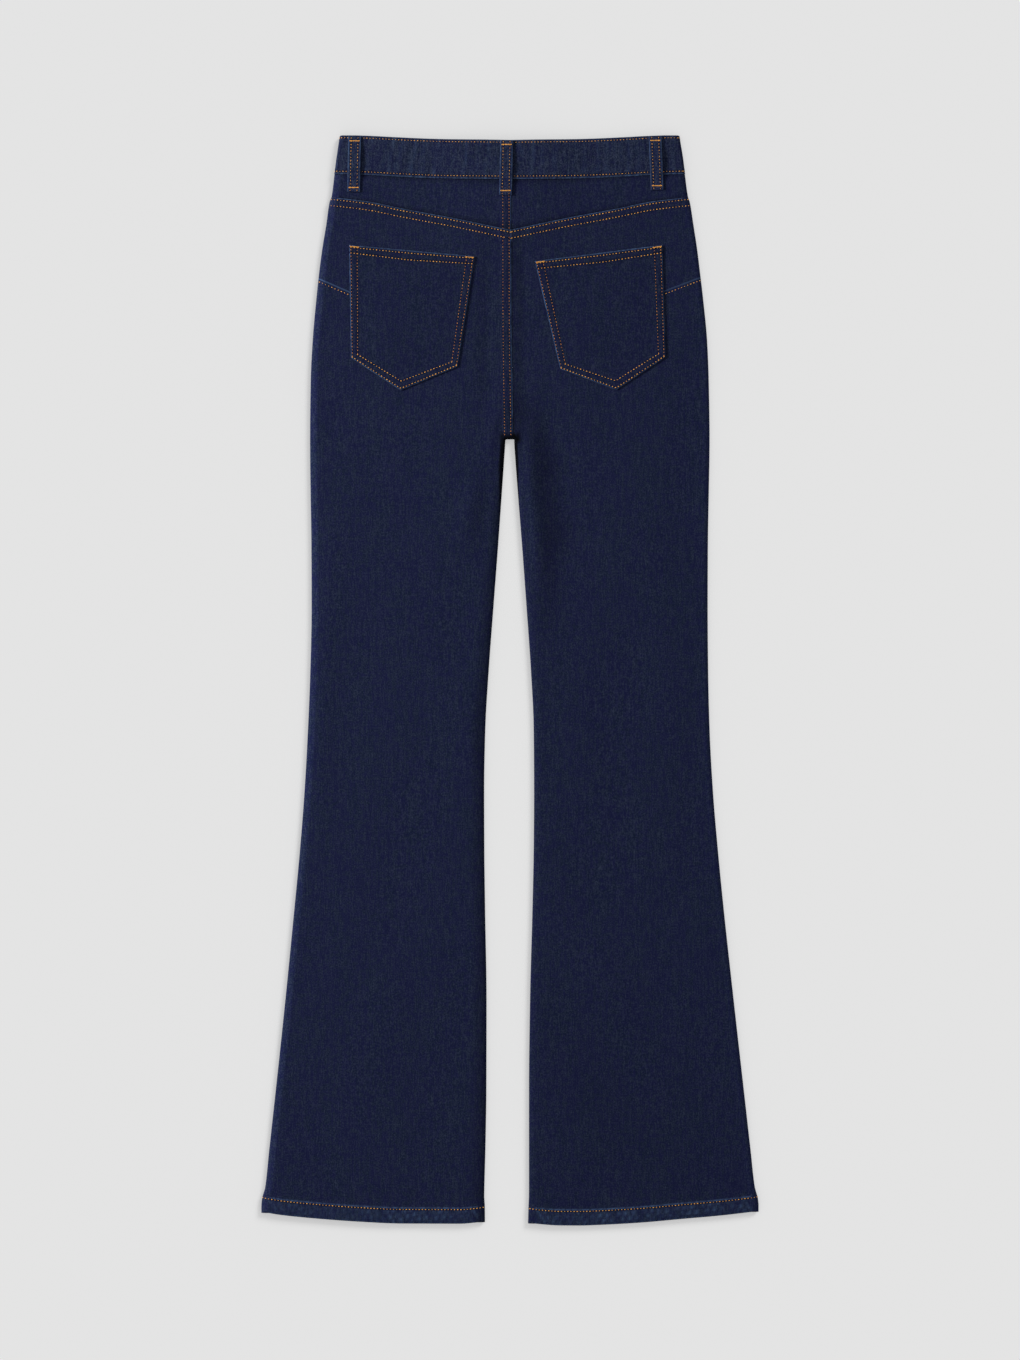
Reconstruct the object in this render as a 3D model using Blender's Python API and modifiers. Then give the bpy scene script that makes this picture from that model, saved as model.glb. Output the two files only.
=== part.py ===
"""Flared jeans laid flat, face down, waist toward +Y, wearer's left at -X.

The cloth is a flattened tube for each leg. Its back lies uppermost and its front lies on the
ground. Every cut piece is a closed solid of its own, 0.3 mm clear of its neighbours.
Local coordinates are u (outward from the middle), d (down from the waist edge) and z (up), in mm.
"""

import math

import bpy

GARMENT = "flared_jeans"

# Driving dimensions, in millimetres.
MM = 0.001
LENGTH = 1134.0
TOP = LENGTH / 2
CLOTH = 1.1
BAND_CLOTH = 2.3
HEM_CLOTH = 2.4
HEM_DEPTH = 15.5
LOOP_CLOTH = 1.4
SEAM_GAP = 0.3
TUBE = 5.4
FOLD = TUBE / 2
WRAP = 7.0
BAND_TUBE = 6.4
FELL = 0.5
FELL_BACK = 11.8
FELL_YOKE = 9.4
CROTCH = 316.0
FRONT_DROP = 14.0
BUTTON_LIFT = 2.0
LOOP_LIFT = 1.7
FLY_END = 170.0
FLY_WIDTH = 12.0
TUCK = 1.4
BUTTON_RADIUS = 8.5
SCOOP_WIDE = 62.0
SCOOP_DEEP = 76.0

OUTLINE_COLUMNS = ("depth", "left_outer", "left_inner", "right_inner", "right_outer")
OUTLINE = (
    (-20.0, 173.2, 4.9, 4.4, 172.6),
    (5.0, 177.7, 4.9, 4.4, 177.0),
    (26.0, 180.9, 4.9, 4.4, 180.4),
    (41.0, 182.8, 4.9, 4.4, 182.2),
    (63.0, 185.8, 4.9, 4.4, 185.4),
    (68.0, 187.7, 4.9, 4.4, 187.1),
    (92.0, 191.2, 4.9, 4.4, 190.9),
    (117.0, 195.3, 4.9, 4.4, 194.7),
    (142.0, 198.6, 4.9, 4.4, 197.8),
    (171.0, 201.7, 4.9, 4.4, 201.2),
    (213.0, 205.4, 4.9, 4.4, 205.2),
    (254.0, 207.4, 4.9, 4.4, 206.9),
    (316.0, 208.1, 4.9, 4.4, 207.8),
    (337.0, 208.0, 6.1, 5.6, 207.6),
    (369.0, 207.6, 8.3, 8.0, 207.0),
    (431.0, 206.7, 12.7, 12.9, 206.0),
    (493.0, 206.5, 17.4, 17.4, 205.8),
    (556.0, 207.8, 22.1, 21.8, 206.3),
    (618.0, 210.3, 25.7, 24.7, 207.8),
    (681.0, 213.8, 26.9, 25.1, 211.2),
    (743.0, 218.6, 26.7, 24.7, 216.4),
    (805.0, 224.5, 25.9, 23.4, 222.5),
    (899.0, 233.8, 24.4, 20.9, 232.8),
    (993.0, 243.8, 24.6, 19.8, 243.4),
    (1055.0, 250.7, 25.6, 19.8, 250.5),
    (1096.0, 255.3, 26.7, 19.8, 255.3),
    (1104.0, 257.8, 26.8, 19.7, 257.8),
    (1113.0, 258.8, 26.2, 19.3, 258.8),
    (1134.0, 258.8, 26.0, 18.7, 258.8),
)
WAIST_EDGE = (
    (0, 5.3),
    (20, 4.9),
    (41, 4.6),
    (62, 4.2),
    (83, 3.5),
    (104, 2.6),
    (124, 1.6),
    (145, 0.5),
    (160, 0.0),
)
BAND_EDGE = ((0, 46.0), (30, 45.8), (62, 45.2), (100, 43.8), (125, 42.5), (153, 41.0), (182, 40.3))
YOKE_EDGE = (
    (0, 98.5),
    (20, 94.3),
    (62, 85.4),
    (94, 79.4),
    (114, 75.6),
    (146, 69.0),
    (166, 66.4),
    (186, 64.2),
)
CENTRE_SEAM = ((0, 1.2), (100, 1.5), (180, 1.6), (316, 3.4))
HEM_LEFT = (
    (26, 1129.7),
    (36, 1130.9),
    (52, 1132.1),
    (93, 1132.0),
    (114, 1131.9),
    (156, 1130.0),
    (197, 1127.1),
    (239, 1122.9),
    (258, 1119.7),
)
HEM_RIGHT = (
    (19, 1131.0),
    (32, 1132.6),
    (52, 1133.9),
    (73, 1134.0),
    (94, 1133.3),
    (136, 1130.9),
    (177, 1127.3),
    (219, 1123.6),
    (258, 1119.0),
)

POCKET_COLUMNS = ("inner_top", "outer_top", "outer_low", "point", "inner_low")
POCKET_LEFT = ((36.5, 125.9), (167.2, 114.1), (165.4, 231.4), (113.7, 265.3), (54.5, 240.5))
POCKET_RIGHT = ((25.8, 131.0), (158.4, 114.1), (161.6, 230.8), (110.7, 264.8), (52.3, 243.1))

LOOP_COLUMNS = ("name", "top_x", "low_x", "top_d", "low_d")
BACK_LOOPS = (
    ("belt_loop_back_left", -161.4, -162.6, 1.6, 58.9),
    ("belt_loop_back_centre", -3.4, -4.6, 6.0, 62.5),
    ("belt_loop_back_right", 150.9, 153.0, 1.3, 56.8),
)
FRONT_LOOPS = (
    ("belt_loop_front_left", -95.0),
    ("belt_loop_front_right", 95.0),
)
LOOP_WIDTH = 13.4

FINISH_COLUMNS = ("colour", "roughness", "metallic")
FINISHES = {
    "denim": ((0.014, 0.018, 0.042, 1.0), 0.88, 0.0),
    "denim_band": ((0.018, 0.023, 0.050, 1.0), 0.86, 0.0),
    "zip_tape": ((0.010, 0.012, 0.028, 1.0), 0.8, 0.0),
    "metal": ((0.55, 0.36, 0.16, 1.0), 0.35, 1.0),
}

# Fractions of the way from the inner fold to the side fold, closer together near the centre seam.
ACROSS = (0.0, 0.0102, 0.0140, 0.083, 0.19, 0.317, 0.444, 0.62, 0.81, 1.0)
TURN = (90, 60, 30, 0, -30, -60, -90)
LEG_ROWS = (334, 352, 375, 405, 440, 480, 520, 560, 605, 655, 710, 770, 835, 900, 965, 1025, 1070)


def smooth(t):
    """Nought to one with level ends."""
    t = min(1.0, max(0.0, t))
    return t * t * (3 - 2 * t)


def mix(a, b, t):
    return a + (b - a) * t


def curve(points):
    """A smooth line through (position, value) pairs, with no overshoot between them."""
    xs = [float(p[0]) for p in points]
    ys = [float(p[1]) for p in points]
    secants = [(ys[i + 1] - ys[i]) / (xs[i + 1] - xs[i]) for i in range(len(xs) - 1)]
    slopes = [secants[0]]
    for before, after in zip(secants, secants[1:]):
        slopes.append(0.0 if before * after <= 0 else 2 * before * after / (before + after))
    slopes.append(secants[-1])

    def value(x):
        x = min(xs[-1], max(xs[0], x))
        i = 0
        while i < len(xs) - 2 and x > xs[i + 1]:
            i += 1
        h = xs[i + 1] - xs[i]
        t = (x - xs[i]) / h
        a = ys[i] * (1 + 2 * t) * (1 - t) ** 2 + ys[i + 1] * t * t * (3 - 2 * t)
        return a + h * (slopes[i] * t * (1 - t) ** 2 - slopes[i + 1] * t * t * (1 - t))

    return value


def column(name):
    place = OUTLINE_COLUMNS.index(name)
    return curve([(row[0], row[place]) for row in OUTLINE])


OUTER = {-1: column("left_outer"), 1: column("right_outer")}
INNER = {-1: column("left_inner"), 1: column("right_inner")}
HEM = {-1: curve(HEM_LEFT), 1: curve(HEM_RIGHT)}
waist_edge = curve(WAIST_EDGE)
band_edge = curve(BAND_EDGE)
yoke_edge = curve(YOKE_EDGE)
centre_seam = curve(CENTRE_SEAM)


def seam_u(side, d):
    """Where the centre-back seam leaves this side's panel."""
    return centre_seam(d) + SEAM_GAP if side > 0 else -centre_seam(d)


def front_edge(x):
    """Depth of the front waist edge, lower at the middle than the back one."""
    return waist_edge(abs(x)) + (FRONT_DROP - 5.3) * (1 - smooth(abs(x) / 165))


def front_band_edge(x):
    return front_edge(x) + 40.3


def back_lift(x, d):
    """How far the upper ply is raised by the layers of the fly and the waistband."""
    spread = 1 - smooth((abs(x) - 24) / 70)
    return (0.5 + 2.7 * spread) * (1 - smooth((d - 44) / 130))


def button_lift(x):
    return BUTTON_LIFT * (1 - smooth((abs(x) - 15) / 40))


def loop_lift(x):
    return LOOP_LIFT * (1 - smooth((abs(abs(x) - 95.0) - 8) / 24))


def front_lift(x, d):
    """How far the lower ply is raised by what it lies on."""
    band = 0.5 + button_lift(x) * 1.25
    return band * (1 - smooth((d - 54) / 60)) + loop_lift(x) * (1 - smooth((d - 64) / 40))


class Cloth:
    """A piece of cloth: patches of its outer face, joined where they meet, made solid by Solidify."""

    def __init__(self, turn=False):
        self.turn = turn
        self.points = []
        self.plies = []
        self.known = {}
        self.faces = []

    def point(self, place, ply):
        key = tuple(round(c, 3) for c in place)
        if key not in self.known:
            self.known[key] = len(self.points)
            self.points.append(place)
            self.plies.append(ply)
        return self.known[key]

    def patch(self, rows, holes=()):
        """Adds a grid. Each row lists ((x, y, z), ply), and holes names the cells left out."""
        grid = [[self.point(place, ply) for place, ply in row] for row in rows]
        for j in range(len(grid) - 1):
            for i in range(len(grid[0]) - 1):
                if (j, i) in holes:
                    continue
                face = [grid[j][i], grid[j][i + 1], grid[j + 1][i + 1], grid[j + 1][i]]
                face = [v for n, v in enumerate(face) if v not in face[:n]]
                self.faces.append(face[::-1] if self.turn else face)

    def solid(self, name, finish):
        """Gives each point its own ply beneath the outer face."""
        mesh = bpy.data.meshes.new(name)
        mesh.from_pydata([tuple(c * MM for c in p) for p in self.points], [], self.faces)
        mesh.update()
        made = keep(name, mesh, finish)
        thickest = max(self.plies)
        group = made.vertex_groups.new(name="ply")
        for number, ply in enumerate(self.plies):
            group.add([number], ply / thickest, "REPLACE")
        shell = made.modifiers.new("ply", "SOLIDIFY")
        shell.thickness = thickest * MM
        shell.offset = -1.0
        shell.vertex_group = group.name
        shell.use_rim = True
        shell.use_even_offset = False
        return made


MATERIALS = {}


def material(finish):
    """The named finish as a Principled material."""
    if finish not in MATERIALS:
        colour, roughness, metallic = FINISHES[finish]
        made = bpy.data.materials.new(finish)
        made.use_nodes = True
        shader = made.node_tree.nodes["Principled BSDF"]
        shader.inputs["Base Color"].default_value = colour
        shader.inputs["Roughness"].default_value = roughness
        shader.inputs["Metallic"].default_value = metallic
        made.diffuse_color = colour
        MATERIALS[finish] = made
    return MATERIALS[finish]


def keep(name, shape, finish, place=(0.0, 0.0, 0.0)):
    """One object of the garment, from a mesh or a curve, standing at a place in millimetres."""
    made = bpy.data.objects.new(name, shape)
    made.location = [c * MM for c in place]
    made.data.materials.append(material(finish))
    bpy.data.collections[GARMENT].objects.link(made)
    return made


def world(side, u, d, z):
    return (side * u, TOP - d, z)





def fold(side, place, normal, angle, relief=0.0, ply=CLOTH):
    """A point of the round edge between the plies, at an angle above the level."""
    u, d = place
    nu, nd = normal
    a = math.radians(angle)
    reach = FOLD * math.cos(a) - FOLD
    x = side * u
    low = front_lift(x, d)
    high = back_lift(x, d)
    middle = FOLD + (low + high) / 2
    half = (TUBE + high - low) / 2
    z = middle + (half + relief) * math.sin(a) if a > 0 else middle + half * math.sin(a)
    return (world(side, u + nu * reach, d + nd * reach, z), ply)


def notch_path(side):
    """The edge between the legs: (place, outward direction) from the centre seam round the corner."""
    edge = INNER[side](CROTCH)
    r = 1.6 if side < 0 else 0.7
    start = seam_u(side, CROTCH)
    c = r * math.sqrt(0.5)
    path = []
    if side < 0:
        path.append(((start, CROTCH), (0.0, 1.0)))
        path.append(((mix(start, edge - r, 0.5), CROTCH), (0.0, 1.0)))
    path.append(((edge - r, CROTCH), (0.0, 1.0)))
    path.append(((edge - r + c, CROTCH + r - c), (-math.sqrt(0.5), math.sqrt(0.5))))
    path.append(((edge, CROTCH + r), (-1.0, 0.0)))
    return path


def leg_rows(side):
    """Depth functions of the rows below the crotch, with the ply and the relief of each."""
    rows = [(lambda u, k=k: float(k), CLOTH, 0.0) for k in LEG_ROWS]
    hem = HEM[side]
    rows.append((lambda u: mix(1085.0, hem(u) - HEM_DEPTH - 0.5, 0.5), CLOTH, 0.0))
    rows.append((lambda u: hem(u) - HEM_DEPTH - 0.6, CLOTH, 0.0))
    rows.append((lambda u: hem(u) - HEM_DEPTH, HEM_CLOTH, 0.6))
    rows.append((lambda u: hem(u) - HEM_DEPTH / 2, HEM_CLOTH, 0.7))
    rows.append((lambda u: hem(u), HEM_CLOTH, 0.5))
    return rows


def top_z(x, d, relief=0.0):
    return TUBE + back_lift(x, d) + relief


def fell(side, u, d):
    """Relief of the centre-back felled seam, which lies on the left panels."""
    if side > 0 or u > -centre_seam(d) + FELL_BACK - 0.4:
        return 0.0
    return FELL * (1 - smooth((d - CROTCH + 22) / 12))


def back_leg(side, name):
    """Back panel of a leg, with its folds carried round to the seams on the underside."""
    cloth = Cloth(turn=side > 0)
    path = notch_path(side)
    corner = path[-1][0]
    inset = [(p[0] - n[0] * FOLD, p[1] - n[1] * FOLD) for p, n in path]
    base = inset[-1][0]
    gap = SEAM_GAP / 2
    seat = [(0.0, 0.0, FELL), (0.0, FELL_YOKE, FELL), (0.0, FELL_YOKE + 0.7, 0.0)]
    seat += [(t, FELL_YOKE + 0.7, 0.0) for t in (0.08, 0.18, 0.3, 0.42, 0.54, 0.66, 0.78, 0.89, 0.96, 1.0)]
    middle_rows = []
    main_rows = []
    side_rows = []
    for t, offset, ridge in seat:
        def depth(u, target=corner[1], t=t, offset=offset):
            return mix(yoke_edge(abs(u)) + gap + offset, target, t)
        d_edge = depth(200.0)
        edge = OUTER[side](d_edge)
        row = []
        for k, (iu, idd) in enumerate(inset):
            share = k / (len(inset) - 1)
            u = mix(mix(seam_u(side, depth(0.0)), base, share), iu, smooth(t * 1.6 - 0.6))
            d = depth(u, target=idd)
            relief = max(ridge, fell(side, u, d)) * (1 - smooth(t * 8 - 7))
            row.append((world(side, u, d, top_z(side * u, d, relief)), CLOTH + relief))
        middle_rows.append(row)
        row = []
        for share in ACROSS:
            u = mix(base, edge - FOLD, share)
            d = depth(u)
            relief = max(ridge, fell(side, u, d)) * (1 - smooth(t * 8 - 7))
            row.append((world(side, u, d, top_z(side * u, d, relief)), CLOTH + relief))
        row[-1] = fold(side, (edge, depth(edge - FOLD)), (1.0, 0.0), 90, ridge, CLOTH + ridge)
        main_rows.append(row)
        side_rows.append(side_row(side, edge, depth(edge - FOLD), ridge, CLOTH))
    cloth.patch(middle_rows)
    inner_rows = []
    for place, normal in path:
        inner_rows.append(inner_row(side, place, normal, CLOTH, 0.0))
    for depth, ply, relief in leg_rows(side):
        edge = OUTER[side](depth(250.0))
        start = INNER[side](depth(25.0))
        row = []
        for share in ACROSS:
            u = mix(start + FOLD, edge - FOLD, share)
            row.append((world(side, u, depth(u), TUBE + relief), ply))
        main_rows.append(row)
        side_rows.append(side_row(side, edge, depth(edge - FOLD), relief, ply))
        inner_rows.append(inner_row(side, (start, depth(start + FOLD)), (-1.0, 0.0), ply, relief))
    cloth.patch(main_rows)
    cloth.patch(side_rows)
    cloth.patch(inner_rows)
    return cloth.solid(name, "denim")


def side_row(side, edge, d, relief, ply):
    row = []
    for a in TURN:
        extra = relief if ply == CLOTH and a > 0 else 0.0
        row.append(fold(side, (edge, d), (1.0, 0.0), a, relief, ply + extra))
    x = side * (edge - WRAP)
    row.append((world(side, edge - WRAP, d, front_lift(x, d)), ply))
    return row


def inner_row(side, place, normal, ply, relief):
    row = [fold(side, place, normal, a, relief, ply) for a in TURN]
    u = place[0] - normal[0] * WRAP
    d = place[1] - normal[1] * WRAP
    row.append((world(side, u, d, front_lift(side * u, d)), ply))
    return row[::-1]


def yoke(side, name):
    """Half of the back yoke, carried round the side fold."""
    cloth = Cloth(turn=side > 0)
    gap = SEAM_GAP / 2
    rows = []
    sides = []
    for t in (0.0, 0.35, 0.7, 1.0):
        def depth(u, t=t):
            return mix(band_edge(abs(u)) + gap, yoke_edge(abs(u)) - gap, t)
        edge = OUTER[side](depth(190.0))
        base = INNER[side](0) + FOLD
        start = seam_u(side, depth(0.0))
        row = []
        for u in [mix(start, base, k / 3) for k in range(3)] + [mix(base, edge - FOLD, s) for s in ACROSS]:
            d = depth(u)
            relief = fell(side, u, d)
            row.append((world(side, u, d, top_z(side * u, d, relief)), CLOTH + relief))
        row[-1] = fold(side, (edge, depth(edge - FOLD)), (1.0, 0.0), 90)
        rows.append(row)
        sides.append(side_row(side, edge, depth(edge - FOLD), 0.0, CLOTH))
    cloth.patch(rows)
    cloth.patch(sides)
    return cloth.solid(name, "denim")


def scoop_u(side, d, top):
    """Outer edge of the front panel: the pocket mouth, then the side seam."""
    seam = OUTER[side](d) - WRAP - SEAM_GAP
    t = (d - top) / SCOOP_DEEP
    if t >= 1:
        return seam
    t = max(0.0, t)
    low = OUTER[side](top + SCOOP_DEEP) - WRAP - SEAM_GAP
    return low - SCOOP_WIDE * math.sqrt(1 - t * t)


def fly_edge(side, d):
    """Inner edge of the front panel at the fly and down the centre-front seam."""
    if side < 0:
        return -FLY_WIDTH if d < FLY_END - 0.1 else -centre_seam(d)
    return 6.3 if d < FLY_END + 1.4 else centre_seam(d) + SEAM_GAP


def tuck(side, x, d):
    """The right panel's edge is tucked inside the left one."""
    if side < 0:
        return 0.0
    return TUCK * (1 - smooth((x - 12.6) / 5)) * (1 - smooth((d - FLY_END - 2) / 10))


def front_leg(side, name):
    """Front panel of a leg, lying on the ground."""
    cloth = Cloth(turn=side < 0)
    path = notch_path(side)
    reach = WRAP + SEAM_GAP
    inset = [(p[0] - n[0] * reach, p[1] - n[1] * reach) for p, n in path]
    base = inset[-1][0]
    corner_d = inset[-1][1]
    gap = SEAM_GAP / 2
    top = front_band_edge(130.0)
    depths = [top + SCOOP_DEEP * math.sin(math.radians(a)) for a in (12, 25, 40, 55, 70, 82, 90)]
    depths += [138.0, 155.0, 169.6, 169.95, 171.3, 171.7, 176.0, 182.0, 205.0, 235.0, 265.0, 290.0, 303.0]
    shares = (0.0, 0.03, 0.06, 0.14, 0.28, 0.42, 0.58, 0.74, 0.88, 1.0)
    rows = []
    main = []
    for n, flat in enumerate([None] + depths + [corner_d]):
        def depth(u, flat=flat):
            if flat is None:
                return front_band_edge(u) + gap
            blend = smooth((flat - top) / 45)
            return mix(front_band_edge(u) + gap + (flat - top), flat, blend)
        last = flat == corner_d
        d0 = depth(0.0)
        edge = scoop_u(side, depth(130.0), top)
        row = []
        for k, (iu, idd) in enumerate(inset):
            share = k / (len(inset) - 1)
            u = mix(fly_edge(side, d0), base, share)
            d = depth(u)
            if last:
                u, d = iu, idd
            row.append((world(side, u, d, front_lift(side * u, d) + tuck(side, side * u, d)), CLOTH))
        rows.append(row)
        row = []
        for share in shares:
            u = mix(base, edge, share)
            d = depth(u)
            row.append((world(side, u, d, front_lift(side * u, d) + tuck(side, side * u, d)), CLOTH))
        main.append(row)
    for depth, ply, relief in leg_rows(side):
        edge = OUTER[side](depth(250.0)) - reach
        start = INNER[side](depth(25.0)) + reach
        row = []
        for share in shares:
            u = mix(start, edge, share)
            row.append((world(side, u, depth(u), 0.0), ply))
        main.append(row)
    cloth.patch(rows)
    cloth.patch(main)
    return cloth.solid(name, "denim")


def pocket_facing(side, name):
    """Cloth seen inside the pocket mouth, sewn behind the front panel."""
    cloth = Cloth(turn=side < 0)
    top = front_band_edge(130.0)
    rows = []
    for t in (0.0, 0.25, 0.5, 0.75, 1.0):
        row = []
        flat = SCOOP_DEEP * 1.28 * t
        edge = OUTER[side](top + flat) - FOLD - 1.5
        for share in (0.0, 0.2, 0.4, 0.6, 0.8, 1.0):
            u = mix(edge - SCOOP_WIDE - 18, edge, share)
            d = mix(front_band_edge(u), top, smooth(t * 2)) + 0.5 + flat
            row.append((world(side, u, d, front_lift(side * u, d) + CLOTH + 2 * SEAM_GAP), 0.9))
        rows.append(row)
    cloth.patch(rows)
    return cloth.solid(name, "denim")


def pocket(side, corners, name):
    """Five-sided patch pocket lying on the back panel, with a turned top edge."""
    cloth = Cloth(turn=side > 0)
    inner_top, outer_top, outer_low, point, inner_low = corners
    shares = (0.0, 0.04, 0.25, 0.5, 0.75, 0.96, 1.0)
    peak = (point[0] - inner_low[0]) / (outer_low[0] - inner_low[0])
    downs = (0.0, 0.02, 0.085, 0.095, 0.3, 0.5, 0.7, 0.9, 0.98, 1.0)
    rows = []
    for t in downs:
        row = []
        for share in shares:
            s = peak if share == 0.5 else share
            top = (mix(inner_top[0], outer_top[0], s), mix(inner_top[1], outer_top[1], s))
            if s <= peak:
                low = [mix(inner_low[k], point[k], s / peak) for k in range(2)]
            else:
                low = [mix(point[k], outer_low[k], (s - peak) / (1 - peak)) for k in range(2)]
            u = mix(top[0], low[0], t)
            d = mix(top[1], low[1], t)
            rim = share in (0.0, 1.0) or t == 0.0 or t == 1.0
            ply = 0.7 if rim else (1.6 if t < 0.09 else CLOTH)
            z = top_z(side * u, d) + SEAM_GAP + 0.15 + ply
            row.append((world(side, u, d, z), ply))
        rows.append(row)
    cloth.patch(rows)
    return cloth.solid(name, "denim")


def band_top(x):
    """Outer face of the waistband at the back."""
    return BAND_TUBE + 3.2 * (1 - smooth((abs(x) - 24) / 70))


def waistband():
    """One folded strip: from the left end over the button, round both sides, to the end beneath."""
    half_left = OUTER[-1]
    half_right = OUTER[1]
    steps = []
    # Each step: (where it lies, x or the angle round the side fold, height).
    for x in (20.0, 12.0, 3.2, -3.2, -12.0, -28.0, -55.0, -71.0, -87.0, -103.0, -119.0, -140.0):
        steps.append(("front", x, button_lift(x) + loop_lift(x)))
    for a in (-90, -60, -30, 0, 30, 60, 90):
        steps.append(("left", a, 0.0))
    for x in (-150, -125, -94, -75, -58, -42, -24, -12, 0, 12, 24, 42, 58, 75, 94, 125, 150):
        steps.append(("back", float(x), band_top(x)))
    for a in (90, 60, 30, 0, -30, -60, -90):
        steps.append(("right", a, 0.0))
    for x in (140.0, 119.0, 103.0, 87.0, 71.0, 56.0, 48.0, 41.0, 34.0, 28.0, 23.5, 8.0, -8.0, -22.0):
        lift = 4.6 * (1 - smooth((x - 23.5) / 30))
        steps.append(("front", x, max(lift, loop_lift(x))))
    rows = []
    r = BAND_TUBE / 2
    for t in (0.0, 0.04, 0.46, 0.54, 0.96, 1.0):
        row = []
        for kind, value, z in steps:
            if kind == "front":
                d = mix(front_edge(value), front_band_edge(value) - 0.15, t)
                x = value
            elif kind == "back":
                d = mix(waist_edge(abs(value)), band_edge(abs(value)) - 0.15, t)
                x = value
            else:
                a = math.radians(value)
                share = (value + 90) / 180
                low = mix(front_edge(178), front_band_edge(178) - 0.15, t)
                high = mix(waist_edge(178), band_edge(178) - 0.15, t)
                d = mix(low, high, share)
                edge = (half_left if kind == "left" else half_right)(d) + 0.2
                x = (edge - r + r * math.cos(a)) * (-1 if kind == "left" else 1)
                z = r + r * math.sin(a)
            row.append(((x, TOP - d, z), BAND_CLOTH))
        rows.append(row)
    cloth = Cloth(turn=True)
    cloth.patch(rows, holes={(2, 2)})
    return cloth.solid("waistband", "denim_band")


def strip(name, sections, finish, ply):
    """A flat strip through sections of (left point, right point), facing along its own normal."""
    cloth = Cloth(turn=True)
    cloth.patch([[(a, ply), (m, ply), (b, ply)] for a, m, b in sections])
    return cloth.solid(name, finish)


def back_loop(name, top_x, low_x, top_d, low_d):
    """Belt loop over the waistband, its lower end sewn to the yoke."""
    rows = []
    for t in (0.0, 0.05, 0.12, 0.3, 0.5, 0.66, 0.74, 0.82, 0.9, 1.0):
        x0 = mix(top_x, low_x, t)
        d = mix(top_d, low_d, t)
        row = []
        for share in (-0.5, 0.0, 0.5):
            x = x0 + share * LOOP_WIDTH
            over = band_top(x)
            under = top_z(x, d, FELL)
            on_band = 1 - smooth((d - band_edge(abs(x)) - 0.5) / 6)
            slack = 1.3 * math.sin(math.pi * min(1.0, max(0.0, (t - 0.08) / 0.78))) ** 2
            z = mix(under, over, on_band) + SEAM_GAP + LOOP_CLOTH + slack
            row.append((x, TOP - d, z))
        rows.append(row)
    return strip(name, rows, "denim_band", LOOP_CLOTH)


def front_loop(name, middle):
    """Belt loop on the front of the waistband, lying on the ground."""
    cloth = Cloth(turn=False)
    rows = []
    for t in (0.0, 0.25, 0.5, 0.75, 1.0):
        row = []
        for share in (-0.5, 0.0, 0.5):
            x = middle + share * LOOP_WIDTH
            d = mix(front_edge(middle) + 1.0, front_edge(middle) + 56.0, t)
            row.append(((x, TOP - d, 0.0), LOOP_CLOTH))
        rows.append(row)
    cloth.patch(rows)
    return cloth.solid(name, "denim_band")


def flat_piece(name, finish, xs, ds, base, ply):
    """A piece lying in the fly at a height above the front panel."""
    cloth = Cloth(turn=False)
    rows = []
    for d in ds:
        rows.append([((x, TOP - d, front_lift(x, d) + base), ply) for x in xs])
    cloth.patch(rows)
    return cloth.solid(name, finish)


def turned(name, profile, place, finish, segments=24):
    """A turned piece: profile lists (radius, z), from the axis round to the axis."""
    mesh = bpy.data.meshes.new(name)
    points = [(radius * MM, 0.0, z * MM) for radius, z in profile]
    mesh.from_pydata(points, [(k, k + 1) for k in range(len(points) - 1)], [])
    made = keep(name, mesh, finish, place)
    screw = made.modifiers.new("turn", "SCREW")
    screw.axis = "Z"
    screw.steps = segments
    screw.render_steps = segments
    screw.use_merge_vertices = True
    screw.merge_threshold = 0.00001
    screw.use_smooth_shade = True
    screw.use_normal_flip = True
    return made


def plate(name, outline, place, thickness, finish):
    """A flat piece: its outline filled and given a thickness, its middle at a place."""
    flat = bpy.data.curves.new(name, "CURVE")
    flat.dimensions = "2D"
    flat.fill_mode = "BOTH"
    flat.extrude = thickness / 2 * MM
    line = flat.splines.new("POLY")
    line.points.add(len(outline) - 1)
    for point, (x, y) in zip(line.points, outline):
        point.co = (x * MM, y * MM, 0.0, 1.0)
    line.use_cyclic_u = True
    return keep(name, flat, finish, place)


def zip_slider():
    """Slider body with its pull folded up against the waistband."""
    d = front_band_edge(0) + 7.0
    z = front_lift(0, d) + TUCK + 0.05
    outline = ((-2.0, 6.0), (2.0, 6.0), (2.4, 0.0), (4.4, -2.0), (4.0, -8.0), (2.0, -10.0))
    outline += ((-2.0, -10.0), (-4.0, -8.0), (-4.4, -2.0), (-2.4, 0.0))
    return plate("zip_slider", outline, (0.0, TOP - d, z + 0.55), 1.1, "metal")


def button():
    """The waist button: its cap on the outside, its shank through the buttonhole."""
    place = (0.0, TOP - mix(front_edge(0.0), front_band_edge(0.0) - 0.15, 0.5), 0.0)
    r = BUTTON_RADIUS
    profile = ((0, 0.0), (r - 1.6, 0.0), (r - 0.4, 0.25), (r, 0.8), (r - 0.3, 1.4), (r - 1.2, 1.7))
    profile += ((1.3, 1.7), (1.3, 4.3), (0, 4.3))
    return turned("waist_button", profile, place, "metal")


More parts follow.
